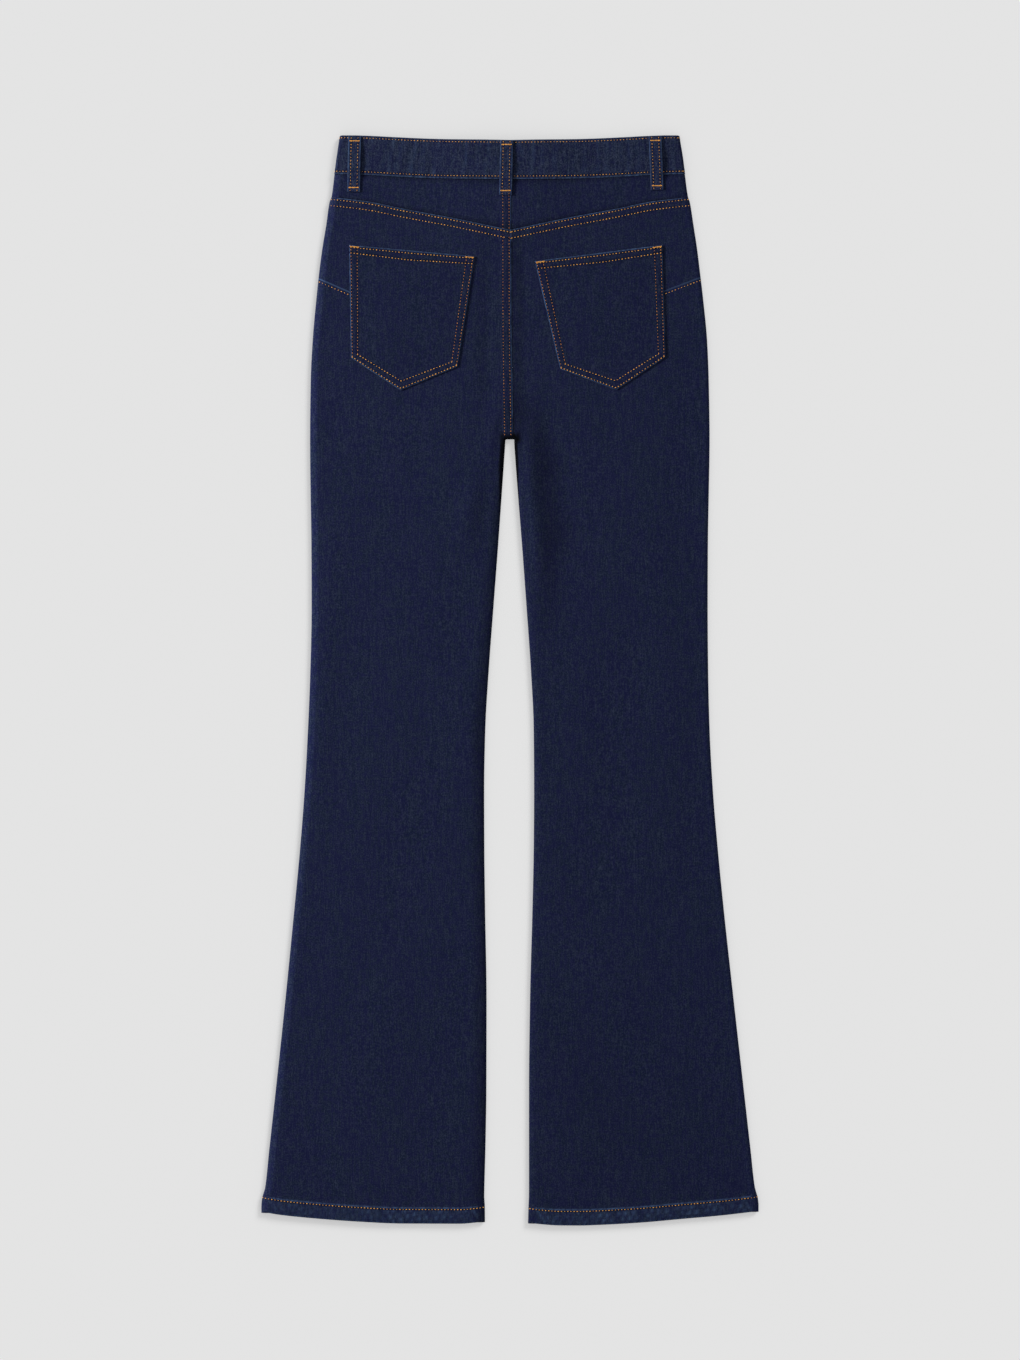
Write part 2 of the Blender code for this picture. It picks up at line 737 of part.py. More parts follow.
def build():
    for old in list(bpy.data.objects):
        bpy.data.objects.remove(old, do_unlink=True)
    bpy.context.scene.collection.children.link(bpy.data.collections.new(GARMENT))
    for side, name in ((-1, "left"), (1, "right")):
        back_leg(side, "back_leg_" + name)
        yoke(side, "yoke_" + name)
        front_leg(side, "front_leg_" + name)
        pocket_facing(side, "pocket_facing_" + name)
    pocket(-1, POCKET_LEFT, "back_pocket_left")
    pocket(1, POCKET_RIGHT, "back_pocket_right")
    waistband()
    for name, top_x, low_x, top_d, low_d in BACK_LOOPS:
        back_loop(name, top_x, low_x, top_d, low_d)
    for name, x in FRONT_LOOPS:
        front_loop(name, x)
    start = front_band_edge(0)
    downs = [start + 17.3 + k * (FLY_END - 23.3 - start) / 12 for k in range(13)]
    flat_piece("zip", "zip_tape", (-6.0, 0.0, 6.0), downs, TUCK, 1.1)
    downs = [start + 0.3 + k * (FLY_END - start - 0.3) / 14 for k in range(15)]
    flat_piece("fly_shield", "denim", (-24.0, -8.0, 8.0, 22.0), downs, TUCK + 1.75, 0.9)
    zip_slider()
    button()


build()
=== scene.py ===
"""Flared jeans laid flat, face down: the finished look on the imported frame.

The garment lies with its waist toward +Y and the wearer's left at -X. Places on the cloth are
given as u (outward from the middle), d (down from the waist edge) and z (up), in millimetres.
"""

from __future__ import annotations

import logging
import math
from dataclasses import dataclass, field
from enum import Enum
from functools import partial
from typing import Any, Callable, Iterable, Mapping, Sequence

import bpy
import numpy as np
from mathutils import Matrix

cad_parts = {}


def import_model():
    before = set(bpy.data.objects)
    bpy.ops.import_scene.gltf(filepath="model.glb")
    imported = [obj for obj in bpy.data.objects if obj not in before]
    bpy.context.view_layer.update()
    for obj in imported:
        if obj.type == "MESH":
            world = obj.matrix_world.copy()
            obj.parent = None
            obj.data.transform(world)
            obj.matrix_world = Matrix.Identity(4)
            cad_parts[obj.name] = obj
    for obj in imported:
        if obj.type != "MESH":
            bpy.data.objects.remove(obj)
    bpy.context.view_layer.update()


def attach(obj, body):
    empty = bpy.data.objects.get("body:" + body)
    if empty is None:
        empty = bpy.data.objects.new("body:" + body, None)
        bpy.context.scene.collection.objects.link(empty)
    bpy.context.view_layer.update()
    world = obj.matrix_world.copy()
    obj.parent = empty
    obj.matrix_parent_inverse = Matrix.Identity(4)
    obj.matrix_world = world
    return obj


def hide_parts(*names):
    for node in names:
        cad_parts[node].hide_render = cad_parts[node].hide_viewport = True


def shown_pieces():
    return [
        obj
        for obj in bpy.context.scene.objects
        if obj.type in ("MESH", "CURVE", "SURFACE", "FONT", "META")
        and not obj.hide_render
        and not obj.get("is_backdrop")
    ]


LOG = logging.getLogger("jeans")
Array = np.ndarray
Material = bpy.types.Material
Socket = bpy.types.NodeSocket
Thing = bpy.types.Object
Tree = bpy.types.NodeTree
Colour = tuple[float, float, float, float]
Depth = Callable[[Array], Array]
MM = 0.001
TURN = np.linspace(90.0, -90.0, 15)
FAR = 100.0  # a distance past every seam and tuck


class Side(Enum):
    """The wearer's left or right, with the sign of its X."""

    LEFT = -1
    RIGHT = 1

    @property
    def label(self) -> str:
        """The word used in piece names."""
        return self.name.lower()


class Line:
    """A smooth line through (place, value) pairs that doesn't overshoot between them."""

    def __init__(self, points: Sequence[tuple[float, float]]) -> None:
        """Works out the slope at each point.

        Args:
            points: (place, value) pairs in rising order of place.
        """
        self.xs = np.array([p[0] for p in points], float)
        self.ys = np.array([p[1] for p in points], float)
        secants = np.diff(self.ys) / np.diff(self.xs)
        before, after = secants[:-1], secants[1:]
        total = np.where(before * after > 0, before + after, 1.0)
        inner = np.where(before * after > 0, 2 * before * after / total, 0.0)
        self.slopes = np.concatenate([secants[:1], inner, secants[-1:]])

    def __call__(self, x: Array | float) -> Array:
        """The value at x, held level past either end.

        Args:
            x: places along the line.

        Returns:
            The value at each place.
        """
        x = np.clip(x, self.xs[0], self.xs[-1])
        i = np.clip(np.searchsorted(self.xs, x, side="right") - 1, 0, len(self.xs) - 2)
        h = self.xs[i + 1] - self.xs[i]
        t = (x - self.xs[i]) / h
        a = self.ys[i] * (1 + 2 * t) * (1 - t) ** 2 + self.ys[i + 1] * t * t * (3 - 2 * t)
        bend = self.slopes[i] * t * (1 - t) ** 2 - self.slopes[i + 1] * t * t * (1 - t)
        return a + h * bend


class Ripple:
    """Uneven waves of about one length, from -1 to 1, the same on every run."""

    def __init__(self, length: float, seed: int, spread: float = 0.35, count: int = 6) -> None:
        """Draws the waves.

        Args:
            length: the usual wave length in millimetres.
            seed: the draw's seed.
            spread: how far the lengths differ, as a share.
            count: how many waves are added up.
        """
        draw = np.random.default_rng(seed)
        self.rates = 2 * np.pi / (length * (1 + spread * draw.uniform(-1, 1, count)))
        self.phases = draw.uniform(0, 2 * np.pi, count)
        self.turns = draw.uniform(0, 2 * np.pi, count)

    def along(self, s: Array) -> Array:
        """The height at each distance along a line."""
        s = np.asarray(s, float)[..., None]
        return np.sin(s * self.rates + self.phases).sum(-1) / np.sqrt(3 * len(self.rates))

    def over(self, x: Array, y: Array) -> Array:
        """The height at each place of a surface."""
        x, y = np.asarray(x, float)[..., None], np.asarray(y, float)[..., None]
        across = x * np.cos(self.turns) + y * np.sin(self.turns)
        return np.sin(across * self.rates + self.phases).sum(-1) / np.sqrt(3 * len(self.rates))


def smooth(t: Array | float) -> Array:
    """Nought to one with level ends."""
    t = np.clip(t, 0.0, 1.0)
    return t * t * (3 - 2 * t)


def mix(a: Any, b: Any, t: Any) -> Any:
    """The value a share t of the way from a to b."""
    return a + (b - a) * t


def bell(s: Array | float, width: float) -> Array:
    """One at nought, falling away on both sides."""
    return np.exp(-((s / width) ** 2))


@dataclass(frozen=True)
class Crease:
    """A soft ridge, or a trough where its height is negative, from one place to another."""

    x0: float
    d0: float
    x1: float
    d1: float
    width: float
    height: float

    def over(self, x: Array, d: Array) -> Array:
        """Its height at each place, fading out past its ends and wandering a little.

        Args:
            x: places across the garment.
            d: depths below the waist edge.

        Returns:
            The height at each place.
        """
        run = np.array([self.x1 - self.x0, self.d1 - self.d0])
        length = float(np.hypot(*run))
        run = run / length
        along = ((x - self.x0) * run[0] + (d - self.d0) * run[1]) / length
        wander = 0.25 * self.width * np.sin(along * 4.1 + self.x0)
        across = (x - self.x0) * run[1] - (d - self.d0) * run[0] + wander
        fade = smooth((along + 0.25) / 0.45) * (1 - smooth((along - 0.8) / 0.45))
        return self.height * fade * bell(across, self.width)


@dataclass(frozen=True)
class Pattern:
    """The cut and the lay of the whole garment, in millimetres."""

    top: float = 567.0
    cloth: float = 1.1
    band_cloth: float = 2.3
    hem_cloth: float = 2.4
    loop_cloth: float = 1.4
    tube: float = 5.4
    band_tube: float = 6.4
    wrap: float = 7.0
    soft: float = 8.0
    gap: float = 0.02
    crotch: float = 316.0
    hem_usual: float = 1126.0
    hem_follow: float = 0.9
    hem_from: float = 1000.0
    hem_to: float = 1100.0
    fly_end: float = 170.0
    tuck: float = 1.4
    scoop_wide: float = 62.0
    scoop_deep: float = 76.0
    outline_columns: tuple[str, ...] = ("depth", "left_outer", "left_inner", "right_inner", "right_outer")
    outline: tuple[tuple[float, ...], ...] = (
        (-20.0, 173.2, 4.9, 4.4, 172.6),
        (5.0, 177.7, 4.9, 4.4, 177.0),
        (26.0, 180.9, 4.9, 4.4, 180.4),
        (41.0, 182.8, 4.9, 4.4, 182.2),
        (63.0, 185.8, 4.9, 4.4, 185.4),
        (68.0, 187.7, 4.9, 4.4, 187.1),
        (92.0, 191.2, 4.9, 4.4, 190.9),
        (117.0, 195.3, 4.9, 4.4, 194.7),
        (142.0, 198.6, 4.9, 4.4, 197.8),
        (171.0, 201.7, 4.9, 4.4, 201.2),
        (213.0, 205.4, 4.9, 4.4, 205.2),
        (254.0, 207.4, 4.9, 4.4, 206.9),
        (316.0, 208.1, 4.9, 4.4, 207.8),
        (337.0, 208.0, 6.1, 5.6, 207.6),
        (369.0, 207.6, 8.3, 8.0, 207.0),
        (431.0, 206.7, 12.7, 12.9, 206.0),
        (493.0, 206.5, 17.4, 17.4, 205.8),
        (556.0, 207.8, 22.1, 21.8, 206.3),
        (618.0, 210.3, 25.7, 24.7, 207.8),
        (681.0, 213.8, 26.9, 25.1, 211.2),
        (743.0, 218.6, 26.7, 24.7, 216.4),
        (805.0, 224.5, 25.9, 23.4, 222.5),
        (899.0, 233.8, 24.4, 20.9, 232.8),
        (993.0, 243.8, 24.6, 19.8, 243.4),
        (1055.0, 250.7, 25.6, 19.8, 250.5),
        (1096.0, 255.3, 26.7, 19.8, 255.3),
        (1104.0, 257.8, 26.8, 19.7, 257.8),
        (1113.0, 258.8, 26.2, 19.3, 258.8),
        (1134.0, 258.8, 26.0, 18.7, 258.8),
    )
    waist_edge: Line = Line(
        ((0, 5.3), (20, 4.9), (41, 4.6), (62, 4.2), (83, 3.5))
        + ((104, 2.6), (124, 1.6), (145, 0.5), (160, 0.0))
    )
    band_edge: Line = Line(
        ((0, 46.0), (30, 45.8), (62, 45.2), (100, 43.8), (125, 42.5), (153, 41.0), (182, 40.3))
    )
    yoke_edge: Line = Line(
        ((0, 98.5), (20, 94.3), (62, 85.4), (94, 79.4), (114, 75.6), (146, 69.0), (166, 66.4), (186, 64.2))
    )
    centre_seam: Line = Line(((0, 1.2), (100, 1.5), (180, 1.6), (316, 3.4)))
    hem_left: Line = Line(
        ((26, 1129.7), (36, 1130.9), (52, 1132.1), (93, 1132.0), (114, 1131.9))
        + ((156, 1130.0), (197, 1127.1), (239, 1122.9), (258, 1119.7))
    )
    hem_right: Line = Line(
        ((19, 1131.0), (32, 1132.6), (52, 1133.9), (73, 1134.0), (94, 1133.3))
        + ((136, 1130.9), (177, 1127.3), (219, 1123.6), (258, 1119.0))
    )
    swell: Ripple = Ripple(120.0, 5, 0.3, 8)
    back_creases: tuple[Crease, ...] = (
        Crease(18, 296, 38, 480, 12, 1.9),
        Crease(36, 300, 66, 420, 17, -1.3),
        Crease(11, 111, 14, 300, 7, -0.6),
        Crease(-9, 262, -46, 415, 12, 1.5),
        Crease(-27, 120, -25, 292, 8, -0.6),
        Crease(-24, 330, -28, 440, 9, -0.9),
        Crease(-120, 352, -35, 394, 11, 0.6),
        Crease(-66, 570, -34, 650, 24, 0.9),
        Crease(-190, 420, -198, 720, 15, 0.6),
        Crease(-128, 870, -165, 1045, 26, 0.8),
        Crease(58, 800, 150, 1010, 30, 0.8),
        Crease(150, 400, 168, 620, 19, 0.6),
        Crease(96, 560, 120, 760, 22, -0.6),
    )
    shades: tuple[Crease, ...] = (
        Crease(13, 275, 38, 350, 17, -0.20),
        Crease(38, 345, 46, 420, 21, -0.19),
        Crease(44, 415, 24, 510, 18, -0.20),
        Crease(-120, 430, -95, 700, 62, 0.05),
        Crease(115, 480, 120, 720, 60, 0.07),
        Crease(-150, 30, -60, 42, 22, -0.04),
        Crease(-26, 110, -25, 300, 7, -0.10),
        Crease(9, 110, 10, 305, 7, -0.16),
        Crease(70, 900, 110, 1080, 50, -0.06),
    )
    front_creases: tuple[Crease, ...] = (
        Crease(-70, 300, -160, 350, 14, 1.1),
        Crease(64, 296, 150, 372, 13, 1.0),
        Crease(-110, 560, -60, 700, 24, 1.2),
        Crease(90, 600, 140, 780, 26, 1.0),
        Crease(-150, 880, -100, 1030, 28, 1.0),
        Crease(110, 900, 160, 1050, 24, 1.1),
    )

    @property
    def fold(self) -> float:
        """Radius of the round edge between the plies."""
        return self.tube / 2

    def outline_line(self, name: str) -> Line:
        """One named column of the outline as a line."""
        place = self.outline_columns.index(name)
        return Line([(row[0], row[place]) for row in self.outline])

    def outer(self, side: Side, d: Array | float) -> Array:
        """Half width to the side fold at depth d."""
        return self.outline_line(side.label + "_outer")(d)

    def inner(self, side: Side, d: Array | float) -> Array:
        """Distance from the middle to the fold between the legs."""
        return self.outline_line(side.label + "_inner")(d)

    def hem(self, side: Side) -> Line:
        """Depth of the hem's lower edge against u."""
        return self.hem_left if side is Side.LEFT else self.hem_right

    def seam_u(self, side: Side, d: Array | float) -> Array:
        """Where the centre-back seam ends this side's panels; the left ones lap over a little."""
        seam = self.centre_seam(d)
        return seam + self.gap if side is Side.RIGHT else -seam - 0.1

    def front_edge(self, x: Array | float) -> Array:
        """Depth of the waist edge at the front, which dips below the back one."""
        return self.waist_edge(np.abs(x)) + 8.7 * (1 - smooth(np.abs(x) / 165))

    def front_band_edge(self, x: Array | float) -> Array:
        """Depth of the waistband's lower edge at the front."""
        return self.front_edge(x) + 40.3

    def back_lift(self, x: Array, d: Array) -> Array:
        """How far the upper ply is raised by the fly and the waistband beneath it."""
        spread = 1 - smooth((np.abs(x) - 24) / 70)
        return (0.5 + 2.7 * spread) * (1 - smooth((d - 44) / 130))

    def button_lift(self, x: Array) -> Array:
        """How far the waistband's end is held up by the button."""
        return 2.0 * (1 - smooth((np.abs(x) - 15) / 40))

    def loop_lift(self, x: Array) -> Array:
        """How far a front belt loop holds up what lies on it."""
        return 1.7 * (1 - smooth((np.abs(np.abs(x) - 95.0) - 8) / 24))

    def front_lift(self, x: Array, d: Array) -> Array:
        """How far the lower ply is raised off the ground."""
        band = (0.5 + self.button_lift(x) * 1.25) * (1 - smooth((d - 54) / 60))
        return band + self.loop_lift(x) * (1 - smooth((d - 64) / 40))

    def window(self, side: Side, u: Array, d: Array) -> Array:
        """One in the middle of the cloth, falling to nought at its folds."""
        out = smooth((self.outer(side, d) - self.fold - u) / 28)
        legs = smooth((d - self.crotch + 70) / 50)
        inside = smooth((u - self.inner(side, d) - self.fold) / 24)
        return out * mix(1.0, inside, legs)

    def inner_soft(self, d: Array | float) -> Array:
        """Width over which the cloth rounds off toward the fold between the legs."""
        return mix(self.fold, self.soft, smooth((np.asarray(d) - self.crotch) / 40))

    def gap_shadow(self, side: Side, u: Array, d: Array) -> Array:
        """How dark the roll of cloth into the gap between the legs is, near the crotch.

        Args:
            side: which leg.
            u: places outward from the middle.
            d: depths below the waist edge.

        Returns:
            The tone at each place, nought away from the gap.
        """
        below = d - self.crotch
        reach = (5.2, 5.2, 3.4, 1.8, 0.8) if side is Side.LEFT else (3.4, 3.0, 1.3, 0.6, 0.2)
        wide = np.interp(below, (0.0, 26.0, 46.0, 70.0, 95.0), reach)
        into = smooth((u - self.inner(side, np.maximum(d, self.crotch + 4)) - wide + 0.8) / 1.6)
        return -0.93 * (1 - into) * (1 - smooth((below - 50) / 50))

    def shade(self, x: Array, d: Array) -> Array:
        """How much paler the cloth is, or darker below nought, where it faces or leaves the light."""
        return sum(mark.over(x, d) for mark in self.shades)

    def hem_level(self, side: Side, u: Array, flat: float) -> Array:
        """Depth of a leg's row, level above the knee and bent to the hem's line below it."""
        bent = flat + (self.hem(side)(u) - self.hem_usual) * self.hem_follow
        return mix(flat, bent, smooth((flat - self.hem_from) / (self.hem_to - self.hem_from)))

    def top_z(self, side: Side, u: Array, d: Array) -> Array:
        """Height of the upper ply's outer face.

        Args:
            side: which half of the garment.
            u: places outward from the middle.
            d: depths below the waist edge.

        Returns:
            The height at each place, with its creases, falling away toward the folds.
        """
        x = side.value * u
        edge, notch = self.outer(side, d), self.inner(side, d)
        lay = 0.32 * self.swell.over(x, d * 0.6) * self.window(side, np.abs(u), d)
        free = mix(1.0, smooth((u - notch - 3) / 12), smooth((d - self.crotch + 25) / 25))
        free = smooth((edge - u - 4) / 14) * free
        lay = lay + free * sum(crease.over(x, d) for crease in self.back_creases)
        half = (self.tube + self.back_lift(x, d) - self.front_lift(x, d)) / 2
        out = np.clip((u - edge + self.soft) / self.soft, 0, 0.995)
        width = self.inner_soft(d)
        inside = np.clip((notch + width - u) / width, 0, 0.995) * smooth((d - self.crotch) / 2)
        drop = half * (2 - np.sqrt(1 - out**2) - np.sqrt(1 - inside**2))
        return self.tube + self.back_lift(x, d) + lay - drop

    def above_hem(self, side: Side, u: Array, s: float) -> Array:
        """Depth of a row that runs a distance above the hem's edge."""
        return self.hem(side)(u) - s

    def over_top(self, side: Side, u: Array, d: Array, lift: Array | float) -> Array:
        """Points a little over the upper ply, for what is sewn on it."""
        return self.place(side, u, d, self.top_z(side, u, d) + lift)

    def place(self, side: Side, u: Array, d: Array, z: Array) -> Array:
        """Points in the row frame, in millimetres."""
        u, d, z = np.broadcast_arrays(np.asarray(u, float), np.asarray(d, float), np.asarray(z, float))
        return np.stack([side.value * u, self.top - d, z], -1)

    def notch(self, side: Side) -> tuple[Array, Array]:
        """The edge between the legs, from the centre seam round its corner.

        Args:
            side: which leg.

        Returns:
            Places (u, d) and outward directions, one row each.
        """
        edge = float(self.inner(side, self.crotch))
        r = 1.6 if side is Side.LEFT else 0.7
        turns = np.radians(np.linspace(0, 90, 6))
        corner = np.stack([edge - r + r * np.sin(turns), self.crotch + r - r * np.cos(turns)], 1)
        aim = np.stack([-np.sin(turns), np.cos(turns)], 1)
        start = float(self.seam_u(side, self.crotch))
        if side is Side.RIGHT:
            corner[0, 0] = start
            return corner, aim
        run = np.linspace(start, edge - r, 7)[:-1]
        flat = np.stack([run, np.full(len(run), self.crotch)], 1)
        down = np.tile([[0.0, 1.0]], (len(run), 1))
        return np.concatenate([flat, corner]), np.concatenate([down, aim])


PATTERN = Pattern()


@dataclass(frozen=True)
class SeamSection:
    """Height of a sewn edge over its panel, against the distance from the edge."""

    places: tuple[float, ...]
    heights: tuple[float, ...]
    stitches: tuple[float, ...]

    def relief(self, s: Array) -> Array:
        """Height at each distance from the edge, nought past the sewn band."""
        return np.interp(s, self.places, self.heights)

    def wear_and_groove_shade(self, s: Array) -> Array:
        """How worn the cloth is, most on the edge, with painted shade below nought in the groove under each
        row of stitches.
        """
        worn = 0.9 * bell(s - 0.35, 0.6)
        for row in self.stitches:
            # Painted shade in the groove each row of stitches sinks into.
            worn = worn - 0.9 * bell(s - row, 0.6)
        return worn * (s > -0.01)


FELL = SeamSection(
    (0.0, 0.4, 1.0, 2.4, 3.6, 5.6, 7.6, 8.9, 9.8, 10.8, 11.8),
    (0.12, 0.5, 0.68, 0.4, 0.62, 0.66, 0.6, 0.34, 0.38, 0.12, 0.0),
    (2.4, 8.9),
)
POCKET_SIDE = SeamSection(
    (0.0, 0.35, 0.9, 1.8, 3.0, 5.0, 7.0, 8.4, 9.6, 11.2),
    (-0.25, 0.12, 0.34, 0.16, 0.36, 0.4, 0.34, 0.12, 0.12, 0.0),
    (1.8, 8.4),
)
POCKET_TOP = SeamSection(
    (0.0, 0.35, 0.9, 2.6, 4.2, 6.4, 8.8, 10.0, 10.8, 12.0),
    (-0.2, 0.3, 0.62, 0.42, 0.66, 0.64, 0.4, 0.44, 0.1, 0.0),
    (2.6, 8.8),
)
HEM_SECTION = SeamSection(
    (0.0, 0.25, 0.8, 2.0, 5.0, 9.0, 12.4, 13.6, 14.8, 15.6, 16.3, 17.4),
    (-0.5, -0.1, 0.28, 0.5, 0.62, 0.62, 0.55, 0.5, 0.28, 0.4, 0.05, 0.0),
    (14.8,),
)
BAND_TOP = SeamSection((0.0, 0.3, 0.9, 2.6, 4.0, 6.0), (-0.5, -0.15, 0.1, -0.15, 0.12, 0.0), (2.6,))
BAND_LOW = SeamSection((0.0, 0.3, 0.9, 3.1, 5.0, 8.0), (-0.3, 0.0, 0.16, -0.12, 0.14, 0.0), (3.1,))
HEM_ROW = HEM_SECTION.stitches[0]
HEM_TURN = 16.3


class ClothMesh:
    """A piece of cloth: grids of its outer face, joined where they meet, given a thickness."""

    # The marks: worn is pale wear on edges and, below nought, painted shade in the stitch grooves; the next
    # paints light and shade on folds, creases and seams, with a little plain tone; dart is the distance
    # below a tuck's fold.
    MARKS = ("worn", "tone", "dart")

    def __init__(self, turn: bool) -> None:
        """Starts an empty piece.

        Args:
            turn: whether the grids' faces are listed clockwise from outside.
        """
        self.turn = turn
        self.points: list[Array] = []
        self.plies: list[Array] = []
        self.marks: dict[str, list[Array]] = {name: [] for name in self.MARKS}
        self.faces: list[Array] = []
        self.spans: list[float] = []
        self.count = 0

    def patch(
        self, points: Array, ply: Array | float, keep: Array | None = None, **marks: Array | float
    ) -> None:
        """Adds a grid.

        Args:
            points: places in millimetres, rows by columns by 3.
            ply: thickness at each place.
            keep: which cells are made, or None for all.
            marks: the named marks at each place, nought where not given.
        """
        rows, columns = points.shape[:2]
        flat = rows * columns
        self.spans.append(float(np.linalg.norm(np.diff(points, axis=1), axis=2).sum(1).max()))
        self.points.append(points.reshape(-1, 3))
        self.plies.append(np.broadcast_to(ply, (rows, columns)).reshape(-1))
        for name in self.MARKS:
            value = marks.get(name, FAR if name == "dart" else 0.0)
            self.marks[name].append(np.broadcast_to(value, (rows, columns)).reshape(-1))
        ids = self.count + np.arange(flat).reshape(rows, columns)
        quads = np.stack([ids[:-1, :-1], ids[:-1, 1:], ids[1:, 1:], ids[1:, :-1]], -1)
        quads = quads[keep] if keep is not None else quads.reshape(-1, 4)
        self.faces.append(quads[:, ::-1] if self.turn else quads)
        self.count += flat

    def build(
        self, name: str, materials: Sequence[Material], wide: float = 0.0, long: float = 0.0
    ) -> Piece:
        """Closes the piece: outer face, inner face a ply below it, and the rims between.

        Args:
            name: the piece's name.
            materials: the outer finish, then the inner one if it differs.
            wide: width of its cut in millimetres, or nought where it lies as it was cut.
            long: length of its cut in millimetres, or nought where it lies as it was cut.

        Returns:
            The piece with its measured cloth area.
        """
        points = np.concatenate(self.points)
        _, first, index = np.unique(np.round(points, 3), axis=0, return_index=True, return_inverse=True)
        index = index.reshape(-1)
        points = points[first]
        plies = np.concatenate(self.plies)[first]
        faces = index[np.concatenate(self.faces)]
        faces = faces[(faces != np.roll(faces, 1, axis=1)).sum(1) >= 3]
        corners = points[faces]
        spans = np.cross(corners[:, 2] - corners[:, 0], corners[:, 3] - corners[:, 1])
        area = float(np.linalg.norm(spans, axis=1).sum() / 2)
        normals = np.zeros_like(points)
        for corner in range(4):
            np.add.at(normals, faces[:, corner], spans)
        normals /= np.maximum(np.linalg.norm(normals, axis=1, keepdims=True), 1e-12)
        below = points - normals * plies[:, None]
        count = len(points)
        starts = faces.reshape(-1)
        ends = np.roll(faces, -1, axis=1).reshape(-1)
        real = starts != ends
        forward = starts[real] * count + ends[real]
        rim = forward[~np.isin(forward, ends[real] * count + starts[real])]
        a, b = rim // count, rim % count
        rims = np.stack([b, a, a + count, b + count], 1)
        whole = np.concatenate([faces, faces[:, ::-1] + count, rims])
        mesh = bpy.data.meshes.new(name)
        both = (np.concatenate([points, below]) * MM).tolist()
        mesh.from_pydata(both, [], [unique(f) for f in whole.tolist()])
        for mark, values in self.marks.items():
            layer = mesh.attributes.new(mark, "FLOAT", "POINT")
            held = np.concatenate(values)[first]
            inner = np.full(count, FAR if mark == "dart" else 0.0)
            layer.data.foreach_set("value", np.concatenate([held, inner]).astype(np.float32))
        for material in materials:
            mesh.materials.append(material)
        if len(materials) > 1:
            slots = np.zeros(len(whole), np.int32)
            slots[len(faces) : 2 * len(faces)] = 1
            mesh.polygons.foreach_set("material_index", slots)
        mesh.shade_smooth()
        mesh.update()
        made = linked(name, mesh)
        return Piece(made, area * MM * MM, wide * MM, long * MM)


def linked(name: str, data: Any) -> Thing:
    """A new object in the scene that holds this mesh, light or camera."""
    made = bpy.data.objects.new(name, data)
    bpy.context.scene.collection.objects.link(made)
    return made


def unique(face: Sequence[int]) -> list[int]:
    """The face's corners with neighbours that coincide made one."""
    return [v for n, v in enumerate(face) if v != face[n - 1]]


@dataclass
class Piece:
    """A finished piece, the area of its cloth in square metres and the size of its cut in metres."""

    made: Thing
    area: float
    wide: float = 0.0
    long: float = 0.0

    def stands_for(self, node: str, slot: str = "denim", rests_on: Sequence[str] = ()) -> None:
        """Puts the piece on the frame in a node's place and states its cut.

        Args:
            node: the node that it replaces.
            slot: not used.
            rests_on: not used.
        """
        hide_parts(node)
        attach(self.made, "root")
        corners = np.array([v.co for v in self.made.data.vertices])
        laid = corners.max(0) - corners.min(0)
        long = self.long or float(laid[1])
        wide = max(self.wide or float(laid[0]), self.area / long)
        faces = len(self.made.data.polygons)
        LOG.info("%s: %d faces, cut %.3f x %.3f m, %.4f m2", self.made.name, faces, wide, long, self.area)


def sum_of(operation: str, swapped: bool = False) -> Callable[..., Value]:
    """A method of Value that adds one Math node.

    Args:
        operation: the Math node's operation.
        swapped: whether the other value comes first.

    Returns:
        The method.
    """

    def method(self: Value, other: Any = 0.0) -> Value:
        """This and the other, worked out by a Math node."""
        return self.shader.sum(operation, *((other, self) if swapped else (self, other)))

    return method


class Value:
    """A shader value that can be used in sums."""

    __add__ = sum_of("ADD")
    __radd__ = sum_of("ADD", swapped=True)
    __sub__ = sum_of("SUBTRACT")
    __rsub__ = sum_of("SUBTRACT", swapped=True)
    __mul__ = sum_of("MULTIPLY")
    __rmul__ = sum_of("MULTIPLY", swapped=True)
    __truediv__ = sum_of("DIVIDE")
    sine = sum_of("SINE")

    def __init__(self, shader: Shader, socket: Socket) -> None:
        """Wraps an output socket of a shader's node."""
        self.shader = shader
        self.socket = socket

    def clamp(self) -> Value:
        """This held between nought and one."""
        return self.shader.sum("ADD", self, 0.0, use_clamp=True)

    def ramp(self, low: float, high: float) -> Value:
        """Nought at low, one at high, with level ends."""
        sockets = {"Value": self, "From Min": low, "From Max": high}
        node = self.shader.node("ShaderNodeMapRange", {"interpolation_type": "SMOOTHSTEP"}, sockets)
        return Value(self.shader, node.outputs["Result"])


Settings = Mapping[str, Any] | None
Sockets = Mapping[Any, Any] | None


def feed(tree: Tree, socket: Socket, value: Any) -> None:
    """Links or sets one input socket."""
    value = value.socket if isinstance(value, Value) else value
    if isinstance(value, Socket):
        tree.links.new(value, socket)
    else:
        socket.default_value = value


def add_node(tree: Tree, kind: str, settings: Settings, sockets: Sockets) -> Any:
    """Adds a node to a tree.

    Args:
        tree: the material's or the geometry's tree.
        kind: the node's type.
        settings: its own settings, set first.
        sockets: values or links of its input sockets, by name or number.

    Returns:
        The node.
    """
    made = tree.nodes.new(kind)
    for name, value in (settings or {}).items():
        setattr(made, name, value)
    for name, value in (sockets or {}).items():
        feed(tree, made.inputs[name], value)
    return made


